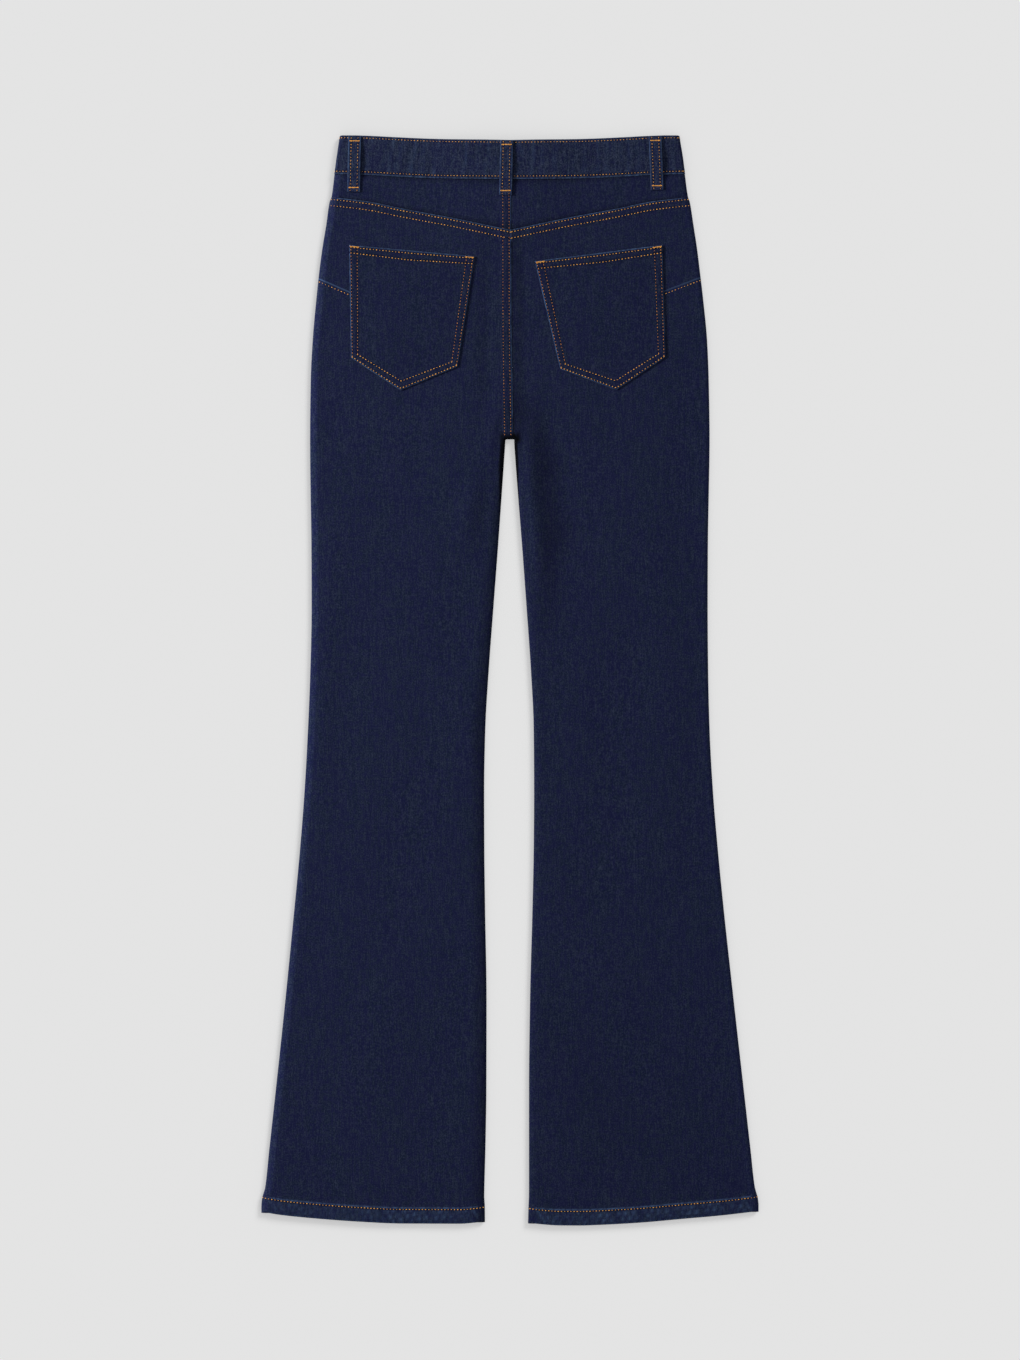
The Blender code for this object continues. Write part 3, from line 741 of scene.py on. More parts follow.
class Shader:
    """A material's node tree, built by named nodes and sums."""

    def __init__(self, name: str) -> None:
        """Starts a material with only its Principled shader."""
        self.material = bpy.data.materials.new(name)
        self.material.use_nodes = True
        self.tree = self.material.node_tree
        self.main = self.tree.nodes["Principled BSDF"]

    def node(self, kind: str, settings: Settings = None, sockets: Sockets = None) -> Any:
        """Adds a node with its settings, then its sockets' values or links."""
        return add_node(self.tree, kind, settings, sockets)

    def sum(self, operation: str, a: Any, b: Any = 0.0, use_clamp: bool = False) -> Value:
        """One Math node on values and numbers."""
        settings = {"operation": operation, "use_clamp": use_clamp}
        made = self.node("ShaderNodeMath", settings, {0: a, 1: b})
        return Value(self, made.outputs[0])

    def mark(self, name: str) -> Value:
        """A named mark of the mesh."""
        made = self.node("ShaderNodeAttribute", {"attribute_name": name})
        return Value(self, made.outputs["Fac"])

    def place(self, scale: Sequence[float]) -> Socket:
        """The place on the object, stretched along each axis."""
        where = self.node("ShaderNodeTexCoord").outputs["Object"]
        made = self.node("ShaderNodeVectorMath", {"operation": "MULTIPLY"}, {0: where, 1: tuple(scale)})
        return made.outputs[0]

    def noise(self, scale: Sequence[float], detail: float = 2.0, roughness: float = 0.5) -> Value:
        """Cloudy values with that many clouds to a metre along each axis."""
        sockets = {"Vector": self.place(scale), "Scale": 1.0, "Detail": detail, "Roughness": roughness}
        made = self.node("ShaderNodeTexNoise", None, sockets)
        return Value(self, made.outputs["Fac"])

    def blend(self, factor: Value | float, a: Any, b: Any) -> Socket:
        """One Mix node on colours."""
        made = self.node("ShaderNodeMix", {"data_type": "RGBA"}, {0: factor, 6: a, 7: b})
        return made.outputs[2]

    def scaled(self, colour: Any, factor: Value) -> Socket:
        """The colour times a value."""
        colour = colour[:3] if isinstance(colour, tuple) else colour
        made = self.node("ShaderNodeVectorMath", {"operation": "SCALE"}, {0: colour, "Scale": factor})
        return made.outputs[0]

    def bump(self, height: Value, distance: float, strength: float) -> None:
        """Feeds the Normal from a height."""
        sockets = {"Height": height, "Distance": distance, "Strength": strength}
        feed(self.tree, self.main.inputs["Normal"], self.node("ShaderNodeBump", None, sockets).outputs[0])

    def set(self, **sockets: Any) -> None:
        """Sets or links the Principled shader's sockets, named with _ for a space."""
        for name, value in sockets.items():
            feed(self.tree, self.main.inputs[name.replace("_", " ")], value)


def colour(red: float, green: float, blue: float) -> Colour:
    """A linear colour."""
    return (red, green, blue, 1.0)


@dataclass(frozen=True)
class DenimFinish:
    """Dry indigo twill: blue warp over a paler weft, worn pale along its edges.

    The warp wanders between two blues. Streaks and speckles let the weft show. The marks set on each
    piece fade its edges with wear, add painted shade in the stitch grooves where the worn mark falls
    below nought, paint light and shade on its folds, creases and seams with a little plain tone, and
    crease its tucks.
    """

    name: str
    warp: Colour = colour(0.0061, 0.0079, 0.0365)
    grey: Colour = colour(0.0042, 0.0080, 0.0245)
    weft: Colour = colour(0.0450, 0.0560, 0.0950)
    worn: Colour = colour(0.0640, 0.1150, 0.2250)
    weft_share: float = 0.38
    twill_mm: float = 0.9

    def build(self) -> Material:
        """Makes the material.

        Returns:
            The material.
        """
        s = Shader(self.name)
        streak = s.noise((850.0, 90.0, 850.0), 2.0)
        slub = s.noise((560.0, 40.0, 560.0), 2.0)
        speckle = s.noise((900.0, 640.0, 900.0), 2.0)
        mottle = s.noise((150.0, 240.0, 150.0), 2.0)
        cloud = s.noise((60.0, 18.0, 60.0), 3.0)
        where = s.place((1.0, 1.0, 1.0))
        parts = s.node("ShaderNodeSeparateXYZ", None, {0: where})
        across, along = Value(s, parts.outputs[0]), Value(s, parts.outputs[1])
        rate = 2 * math.pi / (self.twill_mm * MM)
        twill = ((across * 0.87 + along * 0.5) * rate).sine() * 0.5 + 0.5
        blue = s.blend((slub * 0.35 + mottle * 0.5 + cloud * 0.35).ramp(0.48, 0.72), self.warp, self.grey)
        show = streak * 1.3 + speckle * 2.6 + slub * 0.6 + mottle * 0.6 + twill * 0.12 - 2.37
        cloth = s.blend((show * self.weft_share).clamp(), blue, self.weft)
        worn = s.mark("worn") * (0.35 + 0.9 * s.noise((420.0, 150.0, 420.0), 2.0).ramp(0.35, 0.7))
        cloth = s.blend(worn.clamp(), cloth, self.worn)
        dart = s.mark("dart")
        fold = (1.0 - (dart * dart / 0.9).ramp(0.0, 1.0)) * 0.35
        cloth = s.blend(fold, cloth, self.worn)
        # Painted shade in the stitch grooves, where the worn mark falls below nought.
        groove_shade = 1.0 - (0.0 - s.mark("worn")).clamp() * 0.75
        # Random mottle, times the painted light and shade set on each piece, times the painted shade in the
        # stitch grooves.
        shade = (0.71 + cloud * 0.3 + mottle * 0.14 + speckle * 0.18) * (1.0 + s.mark("tone")) * groove_shade
        s.set(Base_Color=s.scaled(cloth, shade))
        s.set(Roughness=0.84 + streak * 0.12)
        s.set(Metallic=0.0, Specular_IOR_Level=0.06, Sheen_Weight=0.035, Sheen_Roughness=0.45)
        s.set(Sheen_Tint=colour(0.45, 0.55, 0.8))
        step = dart.ramp(-0.5, 0.6) - dart.ramp(0.6, 7.0)
        s.bump(streak * 0.35 + speckle * 0.25 + twill * 0.4 - step * 4.0, 0.00012, 0.55)
        return s.material


@dataclass(frozen=True)
class ThreadFinish:
    """Twisted polyester topstitching thread."""

    name: str
    tint: Colour = colour(0.88, 0.41, 0.065)

    def build(self) -> Material:
        """Makes the material.

        Returns:
            The material.
        """
        s = Shader(self.name)
        twist = s.noise((1900.0, 1900.0, 1900.0), 1.0)
        patchy = s.noise((60.0, 60.0, 60.0), 1.0)
        s.set(Base_Color=s.scaled(self.tint, 0.55 + twist * 0.5 + patchy * 0.4))
        s.set(Roughness=0.6, Specular_IOR_Level=0.3, Sheen_Weight=0.2)
        s.bump(twist, 0.0001, 0.5)
        return s.material


@dataclass(frozen=True)
class MetalFinish:
    """Dull antique brass, rubbed unevenly."""

    name: str
    tint: Colour = colour(0.55, 0.36, 0.16)

    def build(self) -> Material:
        """Makes the material.

        Returns:
            The material.
        """
        s = Shader(self.name)
        rubbed = s.noise((500.0, 500.0, 500.0), 3.0)
        s.set(Base_Color=s.scaled(self.tint, 0.6 + rubbed * 0.6))
        s.set(Metallic=1.0, Roughness=0.3 + rubbed * 0.25)
        s.bump(rubbed, 0.00008, 0.4)
        return s.material


@dataclass(frozen=True)
class FloorFinish:
    """A plain pale floor."""

    name: str
    tint: Colour = colour(0.60, 0.60, 0.60)
    glow: float = 0.369

    def build(self) -> Material:
        """Makes the material.

        Returns:
            The material.
        """
        s = Shader(self.name)
        s.set(Base_Color=self.tint, Roughness=0.95, Specular_IOR_Level=0.0)
        s.set(Emission_Color=colour(1.0, 1.0, 1.0), Emission_Strength=self.glow)
        return s.material


@dataclass
class Finishes:
    """Every finish of the garment, made once."""

    denim: Material = field(default_factory=lambda: DenimFinish("denim").build())
    band: Material = field(
        default_factory=lambda: DenimFinish("denim_band", weft_share=0.7).build()
    )
    wrong_side: Material = field(
        default_factory=lambda: DenimFinish(
            "denim_wrong_side",
            warp=colour(0.10, 0.13, 0.20),
            grey=colour(0.16, 0.18, 0.22),
            weft=colour(0.42, 0.44, 0.48),
            weft_share=1.0,
        ).build()
    )
    thread: Material = field(default_factory=lambda: ThreadFinish("topstitch").build())
    rust: Material = field(
        default_factory=lambda: ThreadFinish("topstitch_rust", colour(0.62, 0.24, 0.050)).build()
    )
    metal: Material = field(default_factory=lambda: MetalFinish("antique_brass").build())


@dataclass(frozen=True)
class Dart:
    """A short tuck from the side fold to the pocket, given by its ends (u, d)."""

    outer: tuple[float, float]
    inner: tuple[float, float]

    def distance(self, u: Array, d: Array) -> Array:
        """Signed distance below the tuck's fold line, or from its inner end past it.

        Args:
            u: places outward from the middle.
            d: depths below the waist edge.

        Returns:
            The distance at each place, below nought above the line.
        """
        a, b = np.array(self.outer), np.array(self.inner)
        run = b - a
        length = float(np.hypot(*run))
        run = run / length
        along = (u - a[0]) * run[0] + (d - a[1]) * run[1]
        below = (u - a[0]) * -run[1] + (d - a[1]) * run[0]
        below = below if run[0] > 0 else -below
        past = np.maximum(0.0, along - length)
        return np.where(past > 0, np.sign(below + 1e-9) * np.hypot(below, past), below)


DARTS = {
    Side.LEFT: Dart((199.0, 149.0), (161.0, 165.5)),
    Side.RIGHT: Dart((198.4, 147.5), (158.0, 163.0)),
}
# Painted highlight on each leg's side fold, and on the fold between the legs painted shade for the left leg
# and painted light for the right.
SIDE_FOLD_HIGHLIGHT = {Side.LEFT: 0.40, Side.RIGHT: 0.25}
INNER_FOLD_LIGHT_AND_SHADE = {Side.LEFT: -0.22, Side.RIGHT: 0.15}
LEFT_POCKET = ((36.5, 125.9), (167.2, 114.1), (165.4, 231.4), (113.7, 265.3), (54.5, 240.5))
RIGHT_POCKET = ((25.8, 131.0), (158.4, 114.1), (161.6, 230.8), (110.7, 264.8), (52.3, 243.1))


def fold_points(
    side: Side, place: Array, aim: Array, relief: Array | float = 0.0, width: Array | float = PATTERN.soft
) -> Array:
    """The round edge between the plies, with the strip beneath it to the seam.

    Args:
        side: which leg.
        place: (u, d) of each row's outermost point.
        aim: outward direction of each row.
        relief: extra height at the top of each row.
        width: how wide the upper half of the round is on each row.

    Returns:
        Points, a row for each place, from the top face round to the underside.
    """
    p = PATTERN
    a = np.radians(TURN)[None, :]
    reach = np.where(a > 0, np.reshape(width, (-1, 1)), p.fold) * (np.cos(a) - 1)
    u = place[:, :1] + aim[:, :1] * reach
    d = place[:, 1:] + aim[:, 1:] * reach
    low = p.front_lift(side.value * place[:, :1], place[:, 1:])
    high = p.back_lift(side.value * u[:, :1], d[:, :1])
    middle = p.fold + (low + high) / 2
    half = (p.tube + high - low) / 2
    rise = np.where(a > 0, np.reshape(relief, (-1, 1)) * np.sin(a), 0.0)
    z = middle + half * np.sin(a) + rise
    under_u = place[:, :1] - aim[:, :1] * np.array([[p.wrap * 0.7, p.wrap]])
    under_d = place[:, 1:] - aim[:, 1:] * np.array([[p.wrap * 0.7, p.wrap]])
    under_z = p.front_lift(side.value * under_u, under_d)
    u, d = np.concatenate([u, under_u], 1), np.concatenate([d, under_d], 1)
    return p.place(side, u, d, np.concatenate([z, under_z], 1))


@dataclass
class LegPanel:
    """Back panel of a leg, with its folds carried round to the seams beneath."""

    side: Side
    finishes: Finishes
    row_step: float = 5.0
    column_step: float = 3.2
    seat_length: float = 200.0
    below_seam: float = 12.6
    pucker: Ripple = field(default_factory=lambda: Ripple(6.5, 11))
    rope: Ripple = field(default_factory=lambda: Ripple(8.5, 23, 0.25))

    def seam_relief(self, u: Array, d: Array, s_yoke: Array) -> tuple[Array, Array]:
        """Height and wear of the felled seams at the top and the middle of the panel, with painted shade in
        their stitch grooves.

        Args:
            u: places outward from the middle.
            d: depths below the waist edge.
            s_yoke: distances below the yoke seam.

        Returns:
            The height, and the wear with its painted groove shade, at each place.
        """
        p = PATTERN
        x = self.side.value * u
        height = FELL.relief(s_yoke) * (1 + 0.22 * self.pucker.along(x))
        worn = FELL.wear_and_groove_shade(s_yoke) * (0.75 + 0.35 * self.pucker.along(x * 0.8 + 40))
        if self.side is Side.LEFT:
            s = u + p.centre_seam(d)
            fade = 1 - smooth((d - p.crotch + 14) / 12)
            height = np.maximum(height, FELL.relief(s) * (1 + 0.2 * self.pucker.along(d)) * fade)
            worn = worn + FELL.wear_and_groove_shade(s) * (0.7 + 0.4 * self.pucker.along(d * 0.9 + 9)) * fade
        return height, worn

    def seat_rows(self) -> list[tuple[float, float]]:
        """(share of the way to the crotch, distance below the yoke seam) of each seat row."""
        count = int(self.seat_length / self.row_step)
        rows = [(0.0, s) for s in (*FELL.places, self.below_seam)]
        return rows + [(t, self.below_seam) for t in np.linspace(0, 1, count)[1:]]

    def columns(self, span: float) -> Array:
        """Shares across the panel, close together beside both of its folds."""
        near = (0.0, 0.9, 1.9, 2.9, 3.9, 5.5)
        far = np.linspace(8.0, span - 6, int((span - 14) / self.column_step))
        return np.concatenate([near, far, [span - 3.5, span - 1.6, span - 0.5, span]]) / span

    def build(self) -> Piece:
        """Makes the panel.

        Returns:
            The panel with its cloth area.
        """
        p, side = PATTERN, self.side
        cloth = ClothMesh(turn=side is Side.RIGHT)
        path, aim = p.notch(side)
        inset = path - aim * p.fold
        base, below = inset[-1]
        shares = np.linspace(0, 1, len(inset))
        if side is Side.LEFT:
            shares = np.interp(shares, np.linspace(0, 1, 8), (0, 0.05, 0.11, 0.27, 0.4, 0.62, 0.85, 1))
        across = self.columns(float(p.outer(side, p.crotch)) - p.soft - base)
        middle, main, wraps = [], [], []
        for t, offset in self.seat_rows():

            def depth(u: Array, target: Any = below, t: float = t, offset: float = offset) -> Array:
                """Depth of this row of the seat."""
                return mix(p.yoke_edge(np.abs(u)) + p.gap + offset, target, t)

            edge = float(p.outer(side, depth(np.array(200.0))))
            seam = p.seam_u(side, depth(np.array(0.0)))
            u = mix(mix(seam, base, shares), inset[:, 0], smooth(t * 1.6 - 0.6))
            middle.append(self.row(u, depth(u, target=inset[:, 1]), t, offset))
            u = mix(base, edge - p.soft, across)
            main.append(self.row(u, depth(u), t, offset))
            relief = float(FELL.relief(offset)) * (1 - smooth(t * 8)) if t < 1 else 0.0
            wraps.append((edge, float(depth(u)[-1]), relief, p.cloth))
        self.add(cloth, middle)
        seat = len(main)
        inner = [(*place, *way, 0.0, p.cloth, p.fold) for place, way in zip(path, aim)]
        flats = np.linspace(below, p.hem_to, int((p.hem_to - below) / self.row_step))[1:]
        levels = [(partial(p.hem_level, side, flat=flat), FAR) for flat in flats]
        hem_rows = sorted(HEM_SECTION.places + (18.6, 3.2, 7.0, 11.0), reverse=True)
        levels += [(partial(p.above_hem, side, s=s), s) for s in hem_rows]
        for level, s in levels:
            self.leg_row(main, wraps, inner, across, level, s)
        self.add(cloth, main)
        self.wrap_side(cloth, np.array(wraps), [row[0][-1] for row in main])
        starts = np.concatenate([middle[-1][0], [row[0][0] for row in main[seat:]]])
        self.wrap_inside(cloth, np.array(inner), starts)
        plies = (self.finishes.denim, self.finishes.wrong_side)
        return cloth.build("jeans_back_leg_" + side.label, plies, wide=sum(cloth.spans[1:]))

    def wrap_side(self, cloth: ClothMesh, rows: Array, starts: Sequence[Array]) -> None:
        """Carries the cloth round the side fold to the seam beneath.

        Args:
            cloth: the panel so far.
            rows: outer edge, depth, seam height and ply of each row.
            starts: the main grid's last point on each row.
        """
        p, side = PATTERN, self.side
        points = fold_points(side, rows[:, :2], np.tile([[1.0, 0.0]], (len(rows), 1)), rows[:, 2])
        points[:, 0] = starts
        angle = np.concatenate([np.sin(np.radians(TURN)), [-1, -1]])[None, :]
        single = rows[:, 3:] < p.hem_cloth
        ply = rows[:, 3:] + rows[:, 2:3] * np.maximum(angle, 0) * single
        folded = DARTS[side].distance(np.abs(points[:, :, 0]), p.top - points[:, :, 1])
        dart = np.where(angle > -0.2, folded, FAR)
        # Painted highlight over the whole side fold.
        cloth.patch(points, ply, tone=SIDE_FOLD_HIGHLIGHT[side], dart=dart)

    def wrap_inside(self, cloth: ClothMesh, rows: Array, starts: Array) -> None:
        """Carries the cloth round the fold between the legs.

        Args:
            cloth: the panel so far.
            rows: place, direction, seam height, ply and width of each row's round.
            starts: the other grids' first point on each row.
        """
        p, side = PATTERN, self.side
        points = fold_points(side, rows[:, :2], rows[:, 2:4], rows[:, 4], rows[:, 6])
        points[:, 0] = starts
        # Painted light on the right leg's fold between the legs and painted shade on the left's, below the
        # crotch, with painted shadow in the gap near the crotch.
        lit = INNER_FOLD_LIGHT_AND_SHADE[side] * smooth((rows[:, 1:2] - p.crotch - 20) / 60)
        dark = p.gap_shadow(side, np.abs(points[:, :, 0]), p.top - points[:, :, 1])
        ply = np.repeat(rows[:, 5:6], points.shape[1], 1)
        cloth.patch(points[:, ::-1], ply, tone=np.minimum(lit, dark)[:, ::-1])

    def row(self, u: Array, d: Array, t: float, offset: float) -> tuple[Array, ...]:
        """One seat row.

        Args:
            u: places outward from the middle.
            d: depths below the waist edge.
            t: share of the way to the crotch.
            offset: distance below the yoke seam, where t is nought.

        Returns:
            Points, plies, wear with its painted groove shade, painted light and shade, and dart distance.
        """
        p, side = PATTERN, self.side
        height, worn = self.seam_relief(u, d, np.full(u.shape, offset if t == 0 else FAR))
        # Painted shadow just above the notch at the crotch and, on the right, beside the centre-back seam,
        # then the painted light and shade of the creases.
        tone = -0.85 * smooth((d - p.crotch + 8) / 5) * (1 - smooth((u - 8) / 5))
        if side is Side.RIGHT:
            tone = tone - 0.45 * bell(u - p.seam_u(side, d), 2.0)
        tone = tone + p.shade(side.value * u, d)
        points = p.over_top(side, u, d, height)
        return points, p.cloth + height, worn, tone, DARTS[side].distance(u, d)

    def leg_row(self, main: list, wraps: list, inner: list, across: Array, level: Depth, s: float) -> None:
        """Adds one row below the crotch to the three grids.

        Args:
            main: rows of the upper face.
            wraps: rows of the side fold.
            inner: rows of the fold between the legs.
            across: column shares.
            level: depth of the row against u.
            s: height of the row above the hem's edge, large where there is no hem.
        """
        p, side = PATTERN, self.side
        edge = float(p.outer(side, level(np.array(255.0))))
        start = float(p.inner(side, level(np.array(24.0))))
        width = float(p.inner_soft(level(np.array(24.0))))
        u = mix(start + width, edge - p.soft, across)
        d = level(u)
        x = side.value * u
        height = float(HEM_SECTION.relief(s))
        body = smooth((s - 1.0) / 3) * (1 - smooth((s - 13.0) / 3))
        rope = self.rope.along(x + 0.7 * s)
        near = smooth((u - start - 12) / 20) * smooth((edge - u - 12) / 20)
        ply = p.hem_cloth if s < HEM_TURN else p.cloth
        worn = np.zeros(u.shape)
        if s < 20:
            worn = 0.6 * bell(s - 0.5, 0.9) * (0.6 + 0.5 * rope) + 0.05 * body
            worn = worn + 0.40 * np.maximum(0, rope) * body
            # Paler wear along the hem's turn, and painted shade in the groove of its row of stitches.
            worn = worn + 0.5 * bell(s - 16.2, 0.8) - 0.9 * bell(s - HEM_ROW, 0.6)
        # Painted light and shade on the folds: a highlight on the side fold, painted shade on the left leg's
        # fold between the legs and painted light on the right's, and painted shadow in the gap near the
        # crotch.
        inside = bell(u - start - width, 5.0) * smooth((d - p.crotch - 20) / 60)
        outside = bell(edge - p.soft - u, 5.0)
        tone = INNER_FOLD_LIGHT_AND_SHADE[side] * inside + SIDE_FOLD_HIGHLIGHT[side] * outside + p.shade(x, d)
        tone = np.minimum(tone, p.gap_shadow(side, u, d) + tone * 0.1)
        points = p.over_top(side, u, d, height + 0.30 * rope * body * near)
        main.append((points, np.full(u.shape, ply), worn, tone, np.full(u.shape, FAR)))
        wraps.append((edge, float(d[-1]), height, ply))
        inner.append((start, float(d[0]), -1.0, 0.0, height, ply, width))

    @staticmethod
    def add(cloth: ClothMesh, rows: list) -> None:
        """Adds rows of points and marks as one grid."""
        points, ply, worn, tone, dart = (np.stack([row[k] for row in rows]) for k in range(5))
        cloth.patch(points, ply, worn=worn, tone=tone, dart=dart)


@dataclass
class Yoke:
    """Half of the back yoke, carried round the side fold."""

    side: Side
    finishes: Finishes
    pucker: Ripple = field(default_factory=lambda: Ripple(7.0, 31))

    def build(self) -> Piece:
        """Makes the yoke.

        Returns:
            The yoke with its cloth area.
        """
        p, side = PATTERN, self.side
        cloth = ClothMesh(turn=side is Side.RIGHT)
        rows, wraps = [], []
        start_base = float(p.inner(side, 0)) + p.fold
        near = np.array([0.0, 0.05, 0.11, 0.27, 0.4, 0.62, 0.85])
        for t in np.concatenate([[0.0, 0.02], np.linspace(0.06, 0.94, 12), [0.98, 1.0]]):

            def depth(u: Array, t: float = t) -> Array:
                """Depth of this row of the yoke."""
                return mix(p.band_edge(np.abs(u)) + p.gap, p.yoke_edge(np.abs(u)) - p.gap, t)

            edge = float(p.outer(side, depth(np.array(190.0))))
            seam = float(p.seam_u(side, depth(np.array(0.0))))
            body = np.linspace(start_base + 8, edge - p.soft - 5, 54)
            first = start_base + np.array([0, 0.9, 1.9, 2.9, 3.9, 5.5])
            last = edge - p.soft - np.array([3, 1.4, 0])
            u = np.concatenate([mix(seam, start_base, near), first, body, last])
            d = depth(u)
            height, worn = np.zeros(u.shape), np.zeros(u.shape)
            if side is Side.LEFT:
                s = u + p.centre_seam(d)
                height = FELL.relief(s) * (1 + 0.2 * self.pucker.along(d))
                worn = FELL.wear_and_groove_shade(s) * 0.7
            waves = self.pucker.along(side.value * u + 0.3 * d) * smooth(t * 8) * smooth((edge - u) / 20)
            points = p.over_top(side, u, d, height + 0.10 * waves - 0.25 * smooth(1 - t * 30))
            # Painted shadow along the yoke's lower edge beside the leg panel's fold, and along its top under
            # the waistband.
            tone = -0.45 * bell((1 - t) * 40, 3.0) - 0.35 * bell(t * 40, 3.0)
            rows.append((points, p.cloth + height, worn, np.full(u.shape, tone), np.full(u.shape, FAR)))
            wraps.append((edge, float(d[-1])))
        LegPanel.add(cloth, rows)
        points = fold_points(side, np.array(wraps), np.tile([[1.0, 0.0]], (len(wraps), 1)))
        points[:, 0] = [row[0][-1] for row in rows]
        # Painted highlight on the side fold, stronger on the left.
        cloth.patch(points, p.cloth, tone=0.3 if side is Side.LEFT else 0.1)
        plies = (self.finishes.denim, self.finishes.wrong_side)
        return cloth.build("jeans_yoke_" + side.label, plies, wide=sum(cloth.spans))


@dataclass
class BackPocket:
    """Five-sided patch pocket with a turned top edge."""

    side: Side
    corners: tuple[tuple[float, float], ...]
    finishes: Finishes
    step: float = 3.2
    point_drop: float = 12.0
    stand: float = 0.5

    def place(self, s: Array, t: Array) -> tuple[Array, Array]:
        """Places on the pocket.

        Args:
            s: shares across, from its inner side.
            t: shares down.

        Returns:
            Places (u, d).
        """
        inner_top, outer_top, outer_low, point, inner_low = (np.array(c) for c in self.corners)
        peak = self.peak()
        s, t = np.broadcast_arrays(s, t)
        top = mix(inner_top, outer_top, s[..., None])
        first = mix(inner_low, point, np.clip(s / peak, 0, 1)[..., None])
        second = mix(point, outer_low, np.clip((s - peak) / (1 - peak), 0, 1)[..., None])
        low = np.where((s <= peak)[..., None], first, second)
        both = mix(top, low, t[..., None])
        return both[..., 0], both[..., 1]

    def size(self) -> tuple[float, float]:
        """Width along the top, and height down to the point, in millimetres."""
        inner_top, outer_top, _, _, inner_low = (np.array(c) for c in self.corners)
        across, down = outer_top - inner_top, inner_low - inner_top
        return float(np.hypot(*across)), float(np.hypot(*down)) + self.point_drop

    def peak(self) -> float:
        """Share across of the lower point."""
        _, _, outer_low, point, inner_low = self.corners
        return (point[0] - inner_low[0]) / (outer_low[0] - inner_low[0])

    def ply_and_puff(self, from_edge: Array, from_top: Array) -> tuple[Array, Array]:
        """Thickness, thin at the rim, and how far the loose middle stands up."""
        puff = 0.5 * smooth((from_edge - 8) / 30) * smooth(from_top / 30)
        return np.clip(0.6 + from_edge * 1.2, 0, PATTERN.cloth), puff

    def build(self) -> Piece:
        """Makes the pocket.

        Returns:
            The pocket with its cloth area.
        """
        p = PATTERN
        wide, tall = self.size()
        near = np.array(POCKET_SIDE.places) / wide
        far = near[::-1]
        peak = self.peak()
        half = np.linspace(near[-1], peak, int((peak - near[-1]) * wide / self.step))[1:]
        rest = np.linspace(peak, 1 - near[-1], int((1 - peak - near[-1]) * wide / self.step))[1:-1]
        top = np.array(POCKET_TOP.places) / tall
        down = np.linspace(top[-1], 1 - near[-1], int((tall - self.point_drop) / self.step))[1:-1]
        s, t = np.meshgrid(
            np.concatenate([near, half, rest, 1 - far]), np.concatenate([top, down, 1 - far])
        )
        u, d = self.place(s, t)
        from_side, from_low, from_top = np.minimum(s, 1 - s) * wide, (1 - t) * tall, t * tall
        from_edge = np.minimum(from_side, from_low)
        waves = Ripple(7.0, 50 + self.side.value)
        run = np.where(from_side < from_low, d, u)
        height = POCKET_SIDE.relief(from_edge) * (1 + 0.25 * waves.along(run))
        hem = POCKET_TOP.relief(from_top) * smooth(from_edge / 1.2)
        height = np.where(from_top < 12, np.maximum(hem, height * smooth(from_top)), height)
        height = np.where(from_top < 0.4, -0.2, height)
        worn = POCKET_SIDE.wear_and_groove_shade(from_edge) + POCKET_TOP.wear_and_groove_shade(from_top)
        ply, puff = self.ply_and_puff(from_edge, from_top)
        cloth = ClothMesh(turn=self.side is Side.RIGHT)
        points = p.over_top(self.side, u, d, self.stand + ply + height + puff)
        cloth.patch(points, ply, worn=worn * (0.75 + 0.3 * waves.along(run * 0.8)), tone=-0.03)
        return cloth.build("jeans_back_pocket_" + self.side.label, (self.finishes.denim,))

    def surface(self, s: Array, t: Array) -> Array:
        """Points on the outer face, for stitches.

        Args:
            s: shares across, from its inner side.
            t: shares down.

        Returns:
            The points in millimetres.
        """
        wide, tall = self.size()
        u, d = self.place(s, t)
        from_edge = np.minimum(np.minimum(s, 1 - s) * wide, (1 - t) * tall)
        from_top = t * tall
        hem = np.where(from_top < 12, POCKET_TOP.relief(from_top), -9)
        height = np.maximum(POCKET_SIDE.relief(from_edge), hem)
        ply, puff = self.ply_and_puff(from_edge, from_top)
        return PATTERN.over_top(self.side, u, d, self.stand + ply + height + puff)

    def stitch_lines(self) -> tuple[list[Array], list[Array]]:
        """Two rows down each side, and two along the point and the top.

        Returns:
            The side rows, then the rows along the point and the top.
        """
        wide, tall = self.size()
        count = 60
        sides, ends = [], []
        for inset in POCKET_SIDE.stitches:
            low = 1 - inset / tall
            down = np.linspace(1.8 / tall, low - 1.0 / tall, count)
            both = (inset / wide, 1 - inset / wide)
            sides += [self.surface(np.full(count, share), down) for share in both]
            ends.append(self.surface(np.linspace(*both, count), np.full(count, low)))
        for inset in POCKET_TOP.stitches:
            s = np.linspace(2.0 / wide, 1 - 2.0 / wide, count)
            ends.append(self.surface(s, np.full(count, inset / tall)))
        return sides, ends


